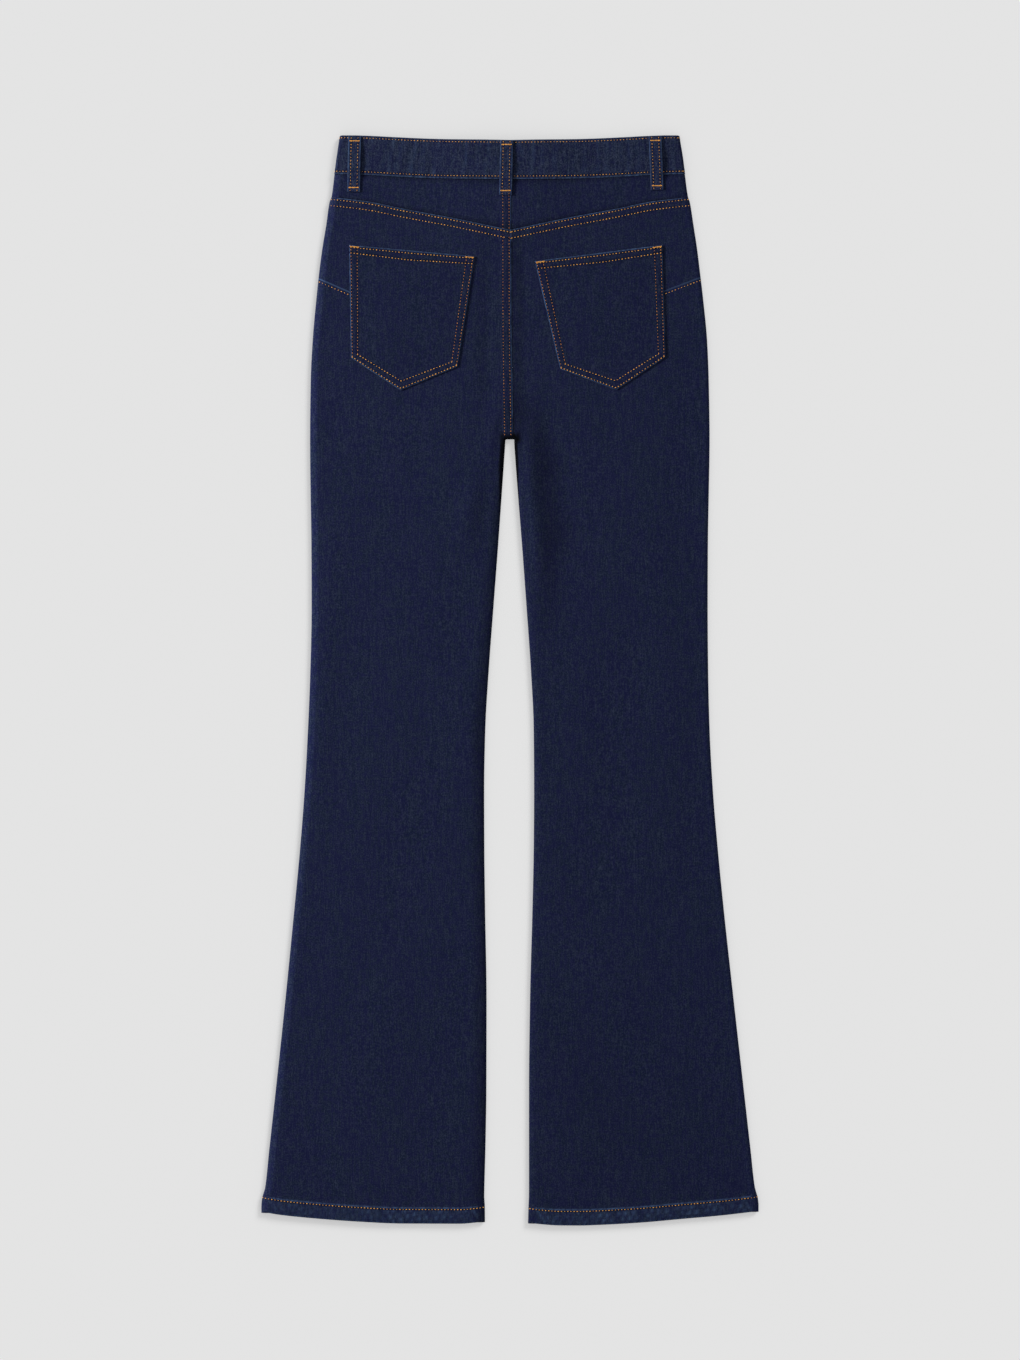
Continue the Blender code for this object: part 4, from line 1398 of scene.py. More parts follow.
@dataclass
class Waistband:
    """One folded strip round the waist, its left end buttoned over its right."""

    finishes: Finishes
    high: float = 40.7
    stitch_depths: tuple[float, float] = (2.6, 37.6)
    end_points: int = 6
    pucker: Ripple = field(default_factory=lambda: Ripple(11.0, 71, 0.5, 8))

    @staticmethod
    def back_z(x: Array) -> Array:
        """Height of the outer face at the back."""
        return PATTERN.band_tube + 3.2 * (1 - smooth((np.abs(x) - 24) / 70))

    @staticmethod
    def front_d(x: Array | float, share: float) -> Array:
        """Depth at the front, at a share of the band's height."""
        return mix(PATTERN.front_edge(x), PATTERN.front_band_edge(x) - PATTERN.gap, share)

    @staticmethod
    def back_d(x: Array | float, share: float) -> Array:
        """Depth at the back, at a share of the band's height."""
        return mix(PATTERN.waist_edge(np.abs(x)), PATTERN.band_edge(np.abs(x)) - PATTERN.gap, share)

    def ring(self, share: float) -> tuple[Array, Array, Array]:
        """The strip's path at a share of its height.

        Args:
            share: nought at the top edge, one at the lower edge.

        Returns:
            Places (x, d, z), outward directions (x, z), and which points lie at the back.
        """
        p = PATTERN
        r = p.band_tube / 2
        left, right = (float(p.outer(side, mix(0, 40, share))) + 0.2 - r for side in Side)
        turns = np.linspace(-90, 90, 13)
        bend = mix(self.front_d(178.0, share), self.back_d(178.0, share), (turns + 90) / 180)
        wide, tall = r * np.cos(np.radians(turns)), r + r * np.sin(np.radians(turns))
        over = np.concatenate([[20.0, 18.0, 12.0, 8.0, 3.2, -3.2, -8.0], np.linspace(-12.0, 2 - left, 54)])
        back = np.linspace(2 - left, right - 2, 120)
        tongue = (23.5, 15.0, 8.0, 0.0, -8.0, -15.0, -22.0)
        under = np.concatenate([np.linspace(right - 3, 26.0, 50), tongue])
        lift = 4.6 * (1 - smooth((under - 23.5) / 30))
        runs = (
            (over, self.front_d(over, share), p.button_lift(over) + p.loop_lift(over)),
            (-left - wide, bend, tall),
            (back, self.back_d(back, share), self.back_z(back)),
            ((right + wide)[::-1], bend[::-1], tall[::-1]),
            (under, self.front_d(under, share), np.maximum(lift, p.loop_lift(under))),
        )
        points = np.concatenate([np.stack(run, 1) for run in runs])
        run = np.gradient(points[:, [0, 2]], axis=0)
        run /= np.linalg.norm(run, axis=1, keepdims=True)
        aim = np.stack([run[:, 1], -run[:, 0]], 1)
        aim = -aim if aim[len(aim) // 2, 1] < 0 else aim
        return points, aim, points[:, 2] > p.band_tube - 0.4

    def face(self, share: float, height: Array | float) -> Array:
        """Points of the band raised by a height along its outward directions."""
        points, aim, _ = self.ring(share)
        x, z = points[:, 0] + aim[:, 0] * height, points[:, 2] + aim[:, 1] * height
        return np.stack([x, PATTERN.top - points[:, 1], z], 1)

    def build(self) -> Piece:
        """Makes the band.

        Returns:
            The band with its cloth area.
        """
        high, buttonhole = self.high, 18.7
        downs = [*BAND_TOP.places, *np.arange(9.0, 18.0, 2.6), buttonhole, 22.0]
        downs += [*np.arange(24.5, 32.0, 2.4), 32.7, 35.7, 37.6, 39.8, 40.4, high]
        middle = self.ring(0.5)[0]
        along = np.concatenate([[0], np.cumsum(np.hypot(*np.diff(middle[:, [0, 2]], axis=0).T))])
        rows, wears, tones = [], [], []
        for down in downs:
            waves = self.pucker.along(along + 0.1 * down)
            fine = self.pucker.along(along * 2.1 + 300 - 0.2 * down)
            edge = BAND_TOP.relief(down) if down < 6 else BAND_LOW.relief(high - down)
            sewn = bell(down - 2.0, 3.5) + bell(down - self.stitch_depths[1], 4.0)
            ends = smooth(down / 1.5) * smooth((high - down) / 1.5)
            face = self.face(down / high, edge + 0.16 * waves * (0.35 + sewn) * ends)
            face[:, 2] = np.maximum(face[:, 2], 0.0)
            rows.append(face)
            wear_and_groove_shade = 0.20 * np.maximum(0, waves) * (0.4 + 0.7 * sewn) + 0.08 * np.maximum(0, fine)
            # Paler wear on the band's edges, and painted shade in the grooves of its rows of stitches.
            wear_and_groove_shade = wear_and_groove_shade + BAND_TOP.wear_and_groove_shade(np.array(down)) * 0.15 + BAND_LOW.wear_and_groove_shade(np.array(high - down)) * 0.6
            wears.append(wear_and_groove_shade)
            tones.append(0.03 * waves - 0.05)
        grid = np.stack(rows)
        keep = np.ones((grid.shape[0] - 1, grid.shape[1] - 1), bool)
        keep[downs.index(buttonhole), 4] = False
        cloth = ClothMesh(turn=True)
        cloth.patch(grid, PATTERN.band_cloth, keep=keep, worn=np.stack(wears), tone=np.stack(tones))
        return cloth.build("jeans_waistband", (self.finishes.band,), wide=cloth.spans[0], long=high)

    def stitch_lines(self, back: bool) -> list[Array]:
        """The rows along the top and the bottom edge.

        Args:
            back: whether the rows on the back are wanted, or those on the front.

        Returns:
            Points along each row, in millimetres.
        """
        lines = []
        for down, section in zip(self.stitch_depths, (BAND_TOP, BAND_LOW)):
            share = down / self.high
            behind = self.ring(share)[2]
            place = self.face(share, float(section.relief(section.stitches[0])) + 0.10)
            if back:
                lines.append(place[behind])
                continue
            first, last = np.flatnonzero(behind)[[0, -1]]
            lines += [place[: first + 1], place[last + 1 : len(place) - self.end_points]]
        return lines


class TreeBuilder:
    """A Geometry Nodes tree, made in the script, with its group inputs by name."""

    def __init__(self, name: str, inputs: Sequence[tuple[str, str]]) -> None:
        """Starts a tree.

        Args:
            name: the tree's name.
            inputs: (name, socket type) of each input after the geometry.
        """
        self.tree = bpy.data.node_groups.new(name, "GeometryNodeTree")
        face = self.tree.interface
        face.new_socket("Geometry", in_out="INPUT", socket_type="NodeSocketGeometry")
        face.new_socket("Geometry", in_out="OUTPUT", socket_type="NodeSocketGeometry")
        for label, kind in inputs:
            face.new_socket(label, in_out="INPUT", socket_type=kind)
        self.start = self.tree.nodes.new("NodeGroupInput")
        self.stop = self.tree.nodes.new("NodeGroupOutput")

    def node(self, kind: str, settings: Settings = None, sockets: Sockets = None) -> Any:
        """Adds a node with its settings, then its sockets' values or links."""
        return add_node(self.tree, kind, settings, sockets)

    def given(self, name: str) -> Socket:
        """The group input of that name."""
        return self.start.outputs[name]

    def finish(self, socket: Socket, material: Socket) -> Tree:
        """Ends the tree in Realize Instances and Set Material."""
        whole = self.node("GeometryNodeRealizeInstances", None, {"Geometry": socket}).outputs[0]
        dressed = self.node("GeometryNodeSetMaterial", None, {"Geometry": whole, "Material": material})
        self.tree.links.new(dressed.outputs[0], self.stop.inputs[0])
        return self.tree

    def maths(self, operation: str, *values: Any) -> Socket:
        """The outcome of one Math node."""
        return self.node("ShaderNodeMath", {"operation": operation}, dict(enumerate(values))).outputs[0]

    @staticmethod
    def apply(
        source: Thing, tree: Tree, values: Mapping[str, Any], name: str
    ) -> Thing:
        """Runs a tree on an object and keeps the plain mesh it makes.

        Args:
            source: the object that the tree reads, removed afterwards.
            tree: the tree.
            values: the group's inputs by name.
            name: the new piece's name.

        Returns:
            The new piece.
        """
        modifier = source.modifiers.new(tree.name, "NODES")
        modifier.node_group = tree
        for item in tree.interface.items_tree:
            if item.item_type == "SOCKET" and item.in_out == "INPUT" and item.name in values:
                modifier[item.identifier] = values[item.name]
        source.update_tag()
        graph = bpy.context.evaluated_depsgraph_get()
        mesh = bpy.data.meshes.new_from_object(source.evaluated_get(graph))
        mesh.name = name
        made = linked(name, mesh)
        source.modifiers.remove(modifier)
        bpy.data.objects.remove(source, do_unlink=True)
        mesh.shade_smooth()
        return made


def guide(name: str, lines: Iterable[Array]) -> Thing:
    """Loose edges along each line of points, for a tree to read.

    Args:
        name: the guide's name.
        lines: points along each line, in millimetres.

    Returns:
        The guide, which the tree's use removes.
    """
    points, edges = [], []
    for line in lines:
        first = len(points)
        points += [tuple(float(c) * MM for c in p) for p in line]
        edges += [(k, k + 1) for k in range(first, len(points) - 1)]
    mesh = bpy.data.meshes.new(name)
    mesh.from_pydata(points, edges, [])
    return linked(name, mesh)


@dataclass
class Stitching:
    """Thread laid along lines: even topstitches, or the close bars of a bartack."""

    LENGTHS = {"pitch": 3.3, "length": 1.3, "width": 0.78, "height": 0.6}
    SHARES = {"turn": 0.0, "sway": 0.2, "uneven": 0.5, "seed": 3}

    finishes: Finishes
    tree: Tree | None = None

    def __post_init__(self) -> None:
        """Builds the tree once."""
        sizes = ("Pitch", "Length", "Width", "Height", "Turn", "Sway", "Uneven")
        inputs = [(size, "NodeSocketFloat") for size in sizes]
        inputs += [("Seed", "NodeSocketInt"), ("Thread", "NodeSocketMaterial")]
        t = TreeBuilder("thread_along_lines", inputs)
        given, node = t.given, t.node
        curve = node("GeometryNodeMeshToCurve", None, {"Mesh": given("Geometry")}).outputs[0]
        sockets = {"Curve": curve, "Length": given("Pitch")}
        spots = node("GeometryNodeCurveToPoints", {"mode": "LENGTH"}, sockets).outputs
        aim = node("FunctionNodeAlignRotationToVector", {"axis": "X"}, {"Vector": spots["Tangent"]})
        chance = node("FunctionNodeRandomValue", {"data_type": "FLOAT"}, {"Seed": given("Seed")})
        spread = t.maths("SUBTRACT", chance.outputs[1], 0.5)
        amount = t.maths("MULTIPLY_ADD", spread, given("Sway"), given("Turn"))
        angles = node("ShaderNodeCombineXYZ", None, {"Z": amount})
        twist = node("FunctionNodeEulerToRotation", None, {0: angles.outputs[0]})
        sockets = {"Rotation": aim.outputs[0], "Rotate By": twist.outputs[0]}
        turned = node("FunctionNodeRotateRotation", {"rotation_space": "LOCAL"}, sockets)
        bead = node("GeometryNodeMeshUVSphere", None, {"Segments": 6, "Rings": 4, "Radius": 0.5})
        sockets = {"X": given("Height"), "Y": given("Width"), "Z": given("Length")}
        size = node("ShaderNodeCombineXYZ", None, sockets).outputs[0]
        shaped = node("GeometryNodeTransform", None, {"Geometry": bead.outputs[0], "Scale": size})
        sockets = {"Geometry": shaped.outputs[0], "Rotation": (0.0, math.pi / 2, 0.0)}
        laid = node("GeometryNodeTransform", None, sockets).outputs[0]
        grow = t.maths("MULTIPLY_ADD", spread, given("Uneven"), 1.0)
        sockets = {"Points": spots["Points"], "Instance": laid, "Rotation": turned.outputs[0], "Scale": grow}
        placed = node("GeometryNodeInstanceOnPoints", None, sockets)
        self.tree = t.finish(placed.outputs[0], given("Thread"))

    def sew(
        self, name: str, lines: Sequence[Array], finish: str = "thread", **sizes: float
    ) -> Thing:
        """Topstitches along the lines.

        Args:
            name: the piece's name.
            lines: points along each row, in millimetres.
            finish: which of the finishes it takes.
            sizes: whichever of LENGTHS and SHARES differ from a topstitch.

        Returns:
            The stitches, riding on the garment.
        """
        given = {**self.LENGTHS, **self.SHARES, **sizes}
        values: dict[str, Any] = {
            key.capitalize(): value * MM if key in self.LENGTHS else value for key, value in given.items()
        }
        values["Thread"] = getattr(self.finishes, finish)
        made = TreeBuilder.apply(guide(name + "_guide", lines), self.tree, values, name)
        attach(made, "root")
        LOG.info("%s: %d faces", name, len(made.data.polygons))
        return made

    def bars(self, name: str, lines: Sequence[Array]) -> Thing:
        """Bartacks: close threads across each short line."""
        sizes = {"pitch": 0.55, "length": 1.25, "width": 0.5, "height": 0.7, "sway": 0.3, "seed": 9}
        return self.sew(name, lines, turn=math.pi / 2, **sizes)


@dataclass
class BeltLoop:
    """A strip over the waistband, sewn at both ends, swept along its own path."""

    name: str
    top: tuple[float, float]
    low: tuple[float, float]
    finishes: Finishes
    width: float = 13.4
    front: bool = False

    def path(self, count: int = 40) -> Array:
        """Middle of the strip, from its top end to its lower one.

        Args:
            count: how many points are wanted.

        Returns:
            The points in millimetres.
        """
        p = PATTERN
        t = np.linspace(0, 1, count)
        x = mix(self.top[0], self.low[0], t)
        d = mix(self.top[1], self.low[1], t)
        if self.front:
            z = np.full(count, p.loop_cloth / 2)
        else:
            side = Side.RIGHT if x.mean() > 0 else Side.LEFT
            over = Waistband.back_z(x) + 0.2
            under = p.top_z(side, np.abs(x), d) + (0.66 if abs(x.mean()) < 20 else 0.0)
            on_band = 1 - smooth((d - p.band_edge(np.abs(x)) - 0.5) / 6)
            slack = 1.2 * np.sin(np.pi * np.clip((t - 0.08) / 0.78, 0, 1)) ** 2
            z = mix(under, over, on_band) + 0.25 + p.loop_cloth / 2 + slack
        return np.stack([x, p.top - d, z], 1)

    def surface(self, offset: float, trim: bool = False) -> Array:
        """A line along the strip's outer face, offset from its middle."""
        path = self.path()
        down = -1.0 if self.front else 1.0
        keep = slice(1, -1) if trim else slice(None)
        return (path + np.array([offset, 0.0, down * (PATTERN.loop_cloth / 2 - 0.02)]))[keep]

    def build(self, tree: Tree) -> Thing:
        """Makes the strip.

        Args:
            tree: the sweeping tree.

        Returns:
            The strip.
        """
        wide, thick = self.width * MM, PATTERN.loop_cloth * MM
        values = {"Width": wide, "Thickness": thick, "Cloth": self.finishes.band}
        line = guide(self.name + "_guide", [self.path()])
        made = TreeBuilder.apply(line, tree, values, "jeans_" + self.name)
        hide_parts(self.name)
        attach(made, "root")
        self.mark(made)
        length = float(np.linalg.norm(np.diff(self.path(), axis=0), axis=1).sum()) * MM
        LOG.info("%s: %d faces", made.name, len(made.data.polygons))
        return made

    def mark(self, made: Thing) -> None:
        """Marks the worn long edges."""
        points = np.array([v.co for v in made.data.vertices]) / MM
        path = self.path()
        x = np.interp(-points[:, 1], -path[:, 1], path[:, 0])
        s = self.width / 2 - np.abs(points[:, 0] - x)
        # Pale wear along the long edges, and painted shade in the grooves under the two columns of stitches.
        worn = 0.04 + 0.4 * bell(s - 0.5, 0.6) - 0.6 * bell(s - 3.2, 0.6)
        for name, values in (("worn", worn), ("dart", np.full(len(points), FAR))):
            layer = made.data.attributes.new(name, "FLOAT", "POINT")
            layer.data.foreach_set("value", values.astype(np.float32))

    @staticmethod
    def sweeping_tree() -> Tree:
        """A tree that sweeps a soft flat section along a line.

        Returns:
            The tree, with inputs Width, Thickness and Cloth.
        """
        inputs = [("Width", "NodeSocketFloat"), ("Thickness", "NodeSocketFloat")]
        t = TreeBuilder("strip_along_line", inputs + [("Cloth", "NodeSocketMaterial")])
        curve = t.node("GeometryNodeMeshToCurve", None, {"Mesh": t.given("Geometry")}).outputs[0]
        upright = t.node("GeometryNodeSetCurveNormal", {"mode": "Z_UP"}, {"Curve": curve}).outputs[0]
        sockets = {"Width": t.given("Width"), "Height": t.given("Thickness")}
        box = t.node("GeometryNodeCurvePrimitiveQuadrilateral", None, sockets).outputs[0]
        sockets = {"Curve": box, "Radius": 0.0005, "Count": 3}
        soft = t.node("GeometryNodeFilletCurve", {"mode": "POLY"}, sockets).outputs[0]
        dense = t.node("GeometryNodeResampleCurve", None, {"Curve": soft, "Count": 52}).outputs[0]
        sockets = {"Curve": upright, "Profile Curve": dense, "Fill Caps": True}
        swept = t.node("GeometryNodeCurveToMesh", None, sockets)
        return t.finish(swept.outputs[0], t.given("Cloth"))


@dataclass
class FrontPanel:
    """Front panel of a leg, lying on the ground, with a scooped pocket mouth."""

    side: Side
    finishes: Finishes
    row_step: float = 7.0
    rope: Ripple = field(default_factory=lambda: Ripple(8.5, 29, 0.25))

    def top(self) -> float:
        """Depth where the pocket mouth starts."""
        return float(PATTERN.front_band_edge(130.0))

    def mouth_u(self, d: Array | float) -> float:
        """Outer edge of the panel: the pocket mouth, then the side seam."""
        p = PATTERN
        t = max(0.0, (float(d) - self.top()) / p.scoop_deep)
        if t >= 1:
            return float(p.outer(self.side, d)) - p.wrap - 2 * p.gap
        low = float(p.outer(self.side, self.top() + p.scoop_deep)) - p.wrap - 2 * p.gap
        return low - p.scoop_wide * math.sqrt(1 - t * t)

    def seat_depth(self, u: Array, flat: float | None) -> Array:
        """Depth of a row above the crotch, bent to the band near the top; None is the top row."""
        band = PATTERN.front_band_edge(u) + PATTERN.gap
        if flat is None:
            return band
        return mix(band + (flat - self.top()), flat, smooth((flat - self.top()) / 45))

    def fly_u(self, d: float) -> float:
        """Inner edge of the panel at the fly and down the centre-front seam."""
        p = PATTERN
        if self.side is Side.LEFT:
            return -12.0 if d < p.fly_end - 0.1 else -float(p.centre_seam(d))
        return 6.3 if d < p.fly_end + 1.4 else float(p.centre_seam(d)) + 2 * p.gap

    def lay(self, u: Array, d: Array) -> Array:
        """Height of the soft creases, which fade out toward the panel's edges."""
        p = PATTERN
        free = smooth((p.outer(self.side, d) - u - 14) / 20) * smooth((u - p.inner(self.side, d) - 12) / 16)
        return free * sum(crease.over(self.side.value * u, d) for crease in p.front_creases)

    def under_z(self, u: Array, d: Array) -> Array:
        """Height of the panel's outer face."""
        p = PATTERN
        x = self.side.value * u
        z = p.front_lift(x, d) + self.lay(u, d)
        if self.side is Side.RIGHT:
            z = z + p.tuck * (1 - smooth((x - 12.6) / 5)) * (1 - smooth((d - p.fly_end - 2) / 10))
        return z

    def build(self) -> Piece:
        """Makes the panel.

        Returns:
            The panel with its cloth area.
        """
        p, side = PATTERN, self.side
        cloth = ClothMesh(turn=side is Side.LEFT)
        path, aim = p.notch(side)
        reach = p.wrap + 0.3
        inset = path - aim * reach
        base, below = inset[-1]
        angles = np.radians((6, 12, 18, 25, 32, 40, 48, 55, 62, 70, 76, 82, 86, 90))
        depths = [self.top() + p.scoop_deep * math.sin(a) for a in angles]
        depths += [134.0, 145.0, 155.0, 163.0, 169.6, 169.95, 171.3, 171.7, 174.0, 177.0, 181.0, 186.0]
        depths += [*np.linspace(192.0, below - 5, 18), float(below)]
        body = np.linspace(0.035, 0.96, 34)
        shares = np.concatenate([[0.0, 0.004, 0.01, 0.02], body, [0.98, 0.99, 0.996, 1.0]])
        middle, main = [], []
        for flat in [None] + depths:
            start = self.fly_u(float(self.seat_depth(np.array(0.0), flat)))
            edge = self.mouth_u(float(self.seat_depth(np.array(130.0), flat)))
            u = mix(start, base, np.linspace(0, 1, len(inset)))
            share = 0.0 if flat is None else float(np.clip((flat - 200) / (below - 200), 0, 1))
            d = self.seat_depth(u, flat) + (inset[:, 1] - below) * share
            u = mix(u, inset[:, 0], share**3)
            middle.append(p.place(side, u, d, self.under_z(u, d)))
            u = mix(base, edge, shares)
            d = self.seat_depth(u, flat)
            main.append(p.place(side, u, d, self.under_z(u, d)))
        cloth.patch(np.stack(middle), p.cloth)
        plies = [np.full(len(shares), p.cloth) for _ in main]
        wears = [np.zeros(len(shares)) for _ in main]
        flats = np.linspace(below, p.hem_to, int(780 / self.row_step))[1:]
        levels = [(partial(p.hem_level, side, flat=flat), FAR) for flat in flats]
        hem_rows = (18.6, 17.4, 16.3, 15.6, 14.8, 13.6, 11.0, 8.0, 5.0, 2.0, 0.8, 0.25, 0.0)
        levels += [(partial(p.above_hem, side, s=s), s) for s in hem_rows]
        for level, s in levels:
            edge = float(p.outer(side, level(np.array(255.0)))) - reach
            start = float(p.inner(side, level(np.array(24.0)))) + reach
            u = mix(start, edge, shares)
            d = level(u)
            wave = np.maximum(0, self.rope.along(u + 0.7 * s)) if s < 14 else np.zeros(u.shape)
            edge_up = 0.35 * (1 - smooth(s / 0.8))
            main.append(p.place(side, u, d, 0.22 * wave * smooth(s / 2) + edge_up + self.lay(u, d)))
            plies.append(np.full(u.shape, p.hem_cloth - edge_up if s < HEM_TURN else p.cloth))
            wears.append(0.5 * bell(s - 16.2, 0.8) + 0.25 * wave)
        cloth.patch(np.stack(main), np.stack(plies), worn=np.stack(wears))
        return cloth.build("jeans_front_leg_" + side.label, (self.finishes.denim, self.finishes.wrong_side))

    def sewn(self, u: Array, d: Array) -> Array:
        """Points on the panel's outer face, for stitches."""
        return PATTERN.place(self.side, u, d, self.under_z(u, d) + 0.08)

    def stitch_lines(self) -> list[Array]:
        """Rows along the pocket mouth, the hem and, on the left, the fly.

        Returns:
            Points along each row, in millimetres.
        """
        p, side = PATTERN, self.side
        lines = []
        angles = np.radians(np.linspace(3, 84, 50))
        for inset in (2.0, 8.0):
            d = self.top() + p.scoop_deep * np.sin(angles)
            u = np.array([self.mouth_u(v) for v in d]) - inset * np.cos(angles)
            lines.append(self.sewn(u, d + inset * np.sin(angles)))
        u = np.linspace(float(p.inner(side, 1110)) + 4, float(p.outer(side, 1110)) - 3, 90)
        lines.append(p.place(side, u, p.above_hem(side, u, HEM_ROW), 0.08))
        if side is Side.RIGHT:
            return lines
        turn = np.radians(np.linspace(0, 82, 24))
        for inset in (0.0, 6.0):
            u = np.concatenate([np.full(30, 30.0 - inset), (30.0 - inset) * np.cos(turn)])
            d = np.concatenate([np.linspace(58.0, 132.0, 30), 132.0 + (38.0 - inset) * np.sin(turn)])
            lines.append(self.sewn(u, d))
        for inset in FELL.stitches:
            d = np.linspace(182.0, p.crotch - 12, 40)
            lines.append(self.sewn(-p.centre_seam(d) + inset, d))
        return lines


@dataclass
class InsidePieces:
    """What lies between the plies: pocket facings, fly shield and zip tape."""

    finishes: Finishes

    def facing(self, side: Side) -> Piece:
        """The cloth seen inside a front pocket's mouth.

        Args:
            side: which pocket.

        Returns:
            The facing with its cloth area.
        """
        p = PATTERN
        top = float(p.front_band_edge(130.0))
        t = np.linspace(0, 1, 26)[:, None]
        share = np.linspace(0, 1, 24)[None, :]
        flat = p.scoop_deep * 1.28 * t
        edge = p.outer(side, top + flat) - p.fold - 1.5
        u = mix(edge - p.scoop_wide - 18, edge, share)
        d = mix(p.front_band_edge(u), top, smooth(t * 2)) + 0.5 + flat
        z = p.front_lift(side.value * u, d) + p.cloth + 0.6
        cloth = ClothMesh(turn=side is Side.LEFT)
        cloth.patch(p.place(side, u, d, z), 0.9)
        return cloth.build("jeans_pocket_facing_" + side.label, (self.finishes.denim,))

    def strip(self, name: str, xs: Array, ds: Array, base: float, ply: float) -> Piece:
        """A flat piece of the fly.

        Args:
            name: the piece's name.
            xs: places across.
            ds: depths down.
            base: its height over the front panel's lift.
            ply: its thickness.

        Returns:
            The piece with its cloth area.
        """
        p = PATTERN
        x, d = np.meshgrid(xs, ds)
        cloth = ClothMesh(turn=True)
        cloth.patch(p.place(Side.RIGHT, x, d, p.front_lift(x, d) + base)[:, ::-1], ply)
        return cloth.build(name, (self.finishes.denim,))


@dataclass
class Studio:
    """Pale floor, soft lights and the camera straight above."""

    centre_y: float = 0.00057
    frame_height: float = 1.4144
    lens: float = 85.0
    sensor: float = 36.0
    floor_size: float = 6.0
    floor_z: float = -0.0003

    def floor(self) -> Thing:
        """A plain floor just under the garment.

        Returns:
            The floor.
        """
        mesh = bpy.data.meshes.new("floor")
        h, z = self.floor_size / 2, self.floor_z
        mesh.from_pydata([(-h, -h, z), (h, -h, z), (h, h, z), (-h, h, z)], [], [(0, 1, 2, 3)])
        mesh.materials.append(FloorFinish("pale_floor").build())
        made = linked("floor", mesh)
        made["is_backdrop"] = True
        return made

    def camera(self) -> None:
        """The camera above the middle, its top toward the waist."""
        data = bpy.data.cameras.new("camera")
        data.lens, data.sensor_width, data.sensor_fit = self.lens, self.sensor, "AUTO"
        data.clip_end = 50.0
        made = linked("camera", data)
        made.location = (0.0, self.centre_y, self.frame_height * self.lens / self.sensor + 0.006)
        bpy.context.scene.camera = made

    def light(
        self, kind: str, name: str, place: Sequence[float], lit: Sequence[Thing], **settings: float
    ) -> None:
        """One light aimed at the middle of the garment, falling on some objects only.

        Args:
            kind: the light's type.
            name: the light's name.
            place: where it stands, in metres.
            lit: the objects it falls on.
            settings: its power and its size or angle.
        """
        data = bpy.data.lights.new(name, kind)
        for key, value in settings.items():
            setattr(data, key, value)
        made = linked(name, data)
        made.location = place
        aim = -np.array(place) / np.linalg.norm(place)
        made.rotation_euler = (math.acos(-aim[2]), 0.0, math.atan2(-aim[0], aim[1]))
        chosen = bpy.data.collections.new(name + "_lights")
        for piece in lit:
            chosen.objects.link(piece)
        made.light_linking.receiver_collection = chosen

    def world(self, strength: float) -> None:
        """Even light from all round."""
        world = bpy.data.worlds.new("studio")
        world.use_nodes = True
        back = world.node_tree.nodes["Background"]
        back.inputs["Color"].default_value = (1.0, 1.0, 1.0, 1.0)
        back.inputs["Strength"].default_value = strength
        bpy.context.scene.world = world

    def build(self) -> None:
        """Sets the whole studio."""
        bpy.context.scene.view_settings.view_transform = "Standard"
        floor = self.floor()
        self.camera()
        self.world(0.45)
        self.light("SUN", "floor_key", (2.4, 2.6, 1.9), [floor], energy=1.5, angle=math.radians(20.0))
        self.light("AREA", "key", (-2.6, 0.9, 1.3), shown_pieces(), energy=112.0, size=0.7)


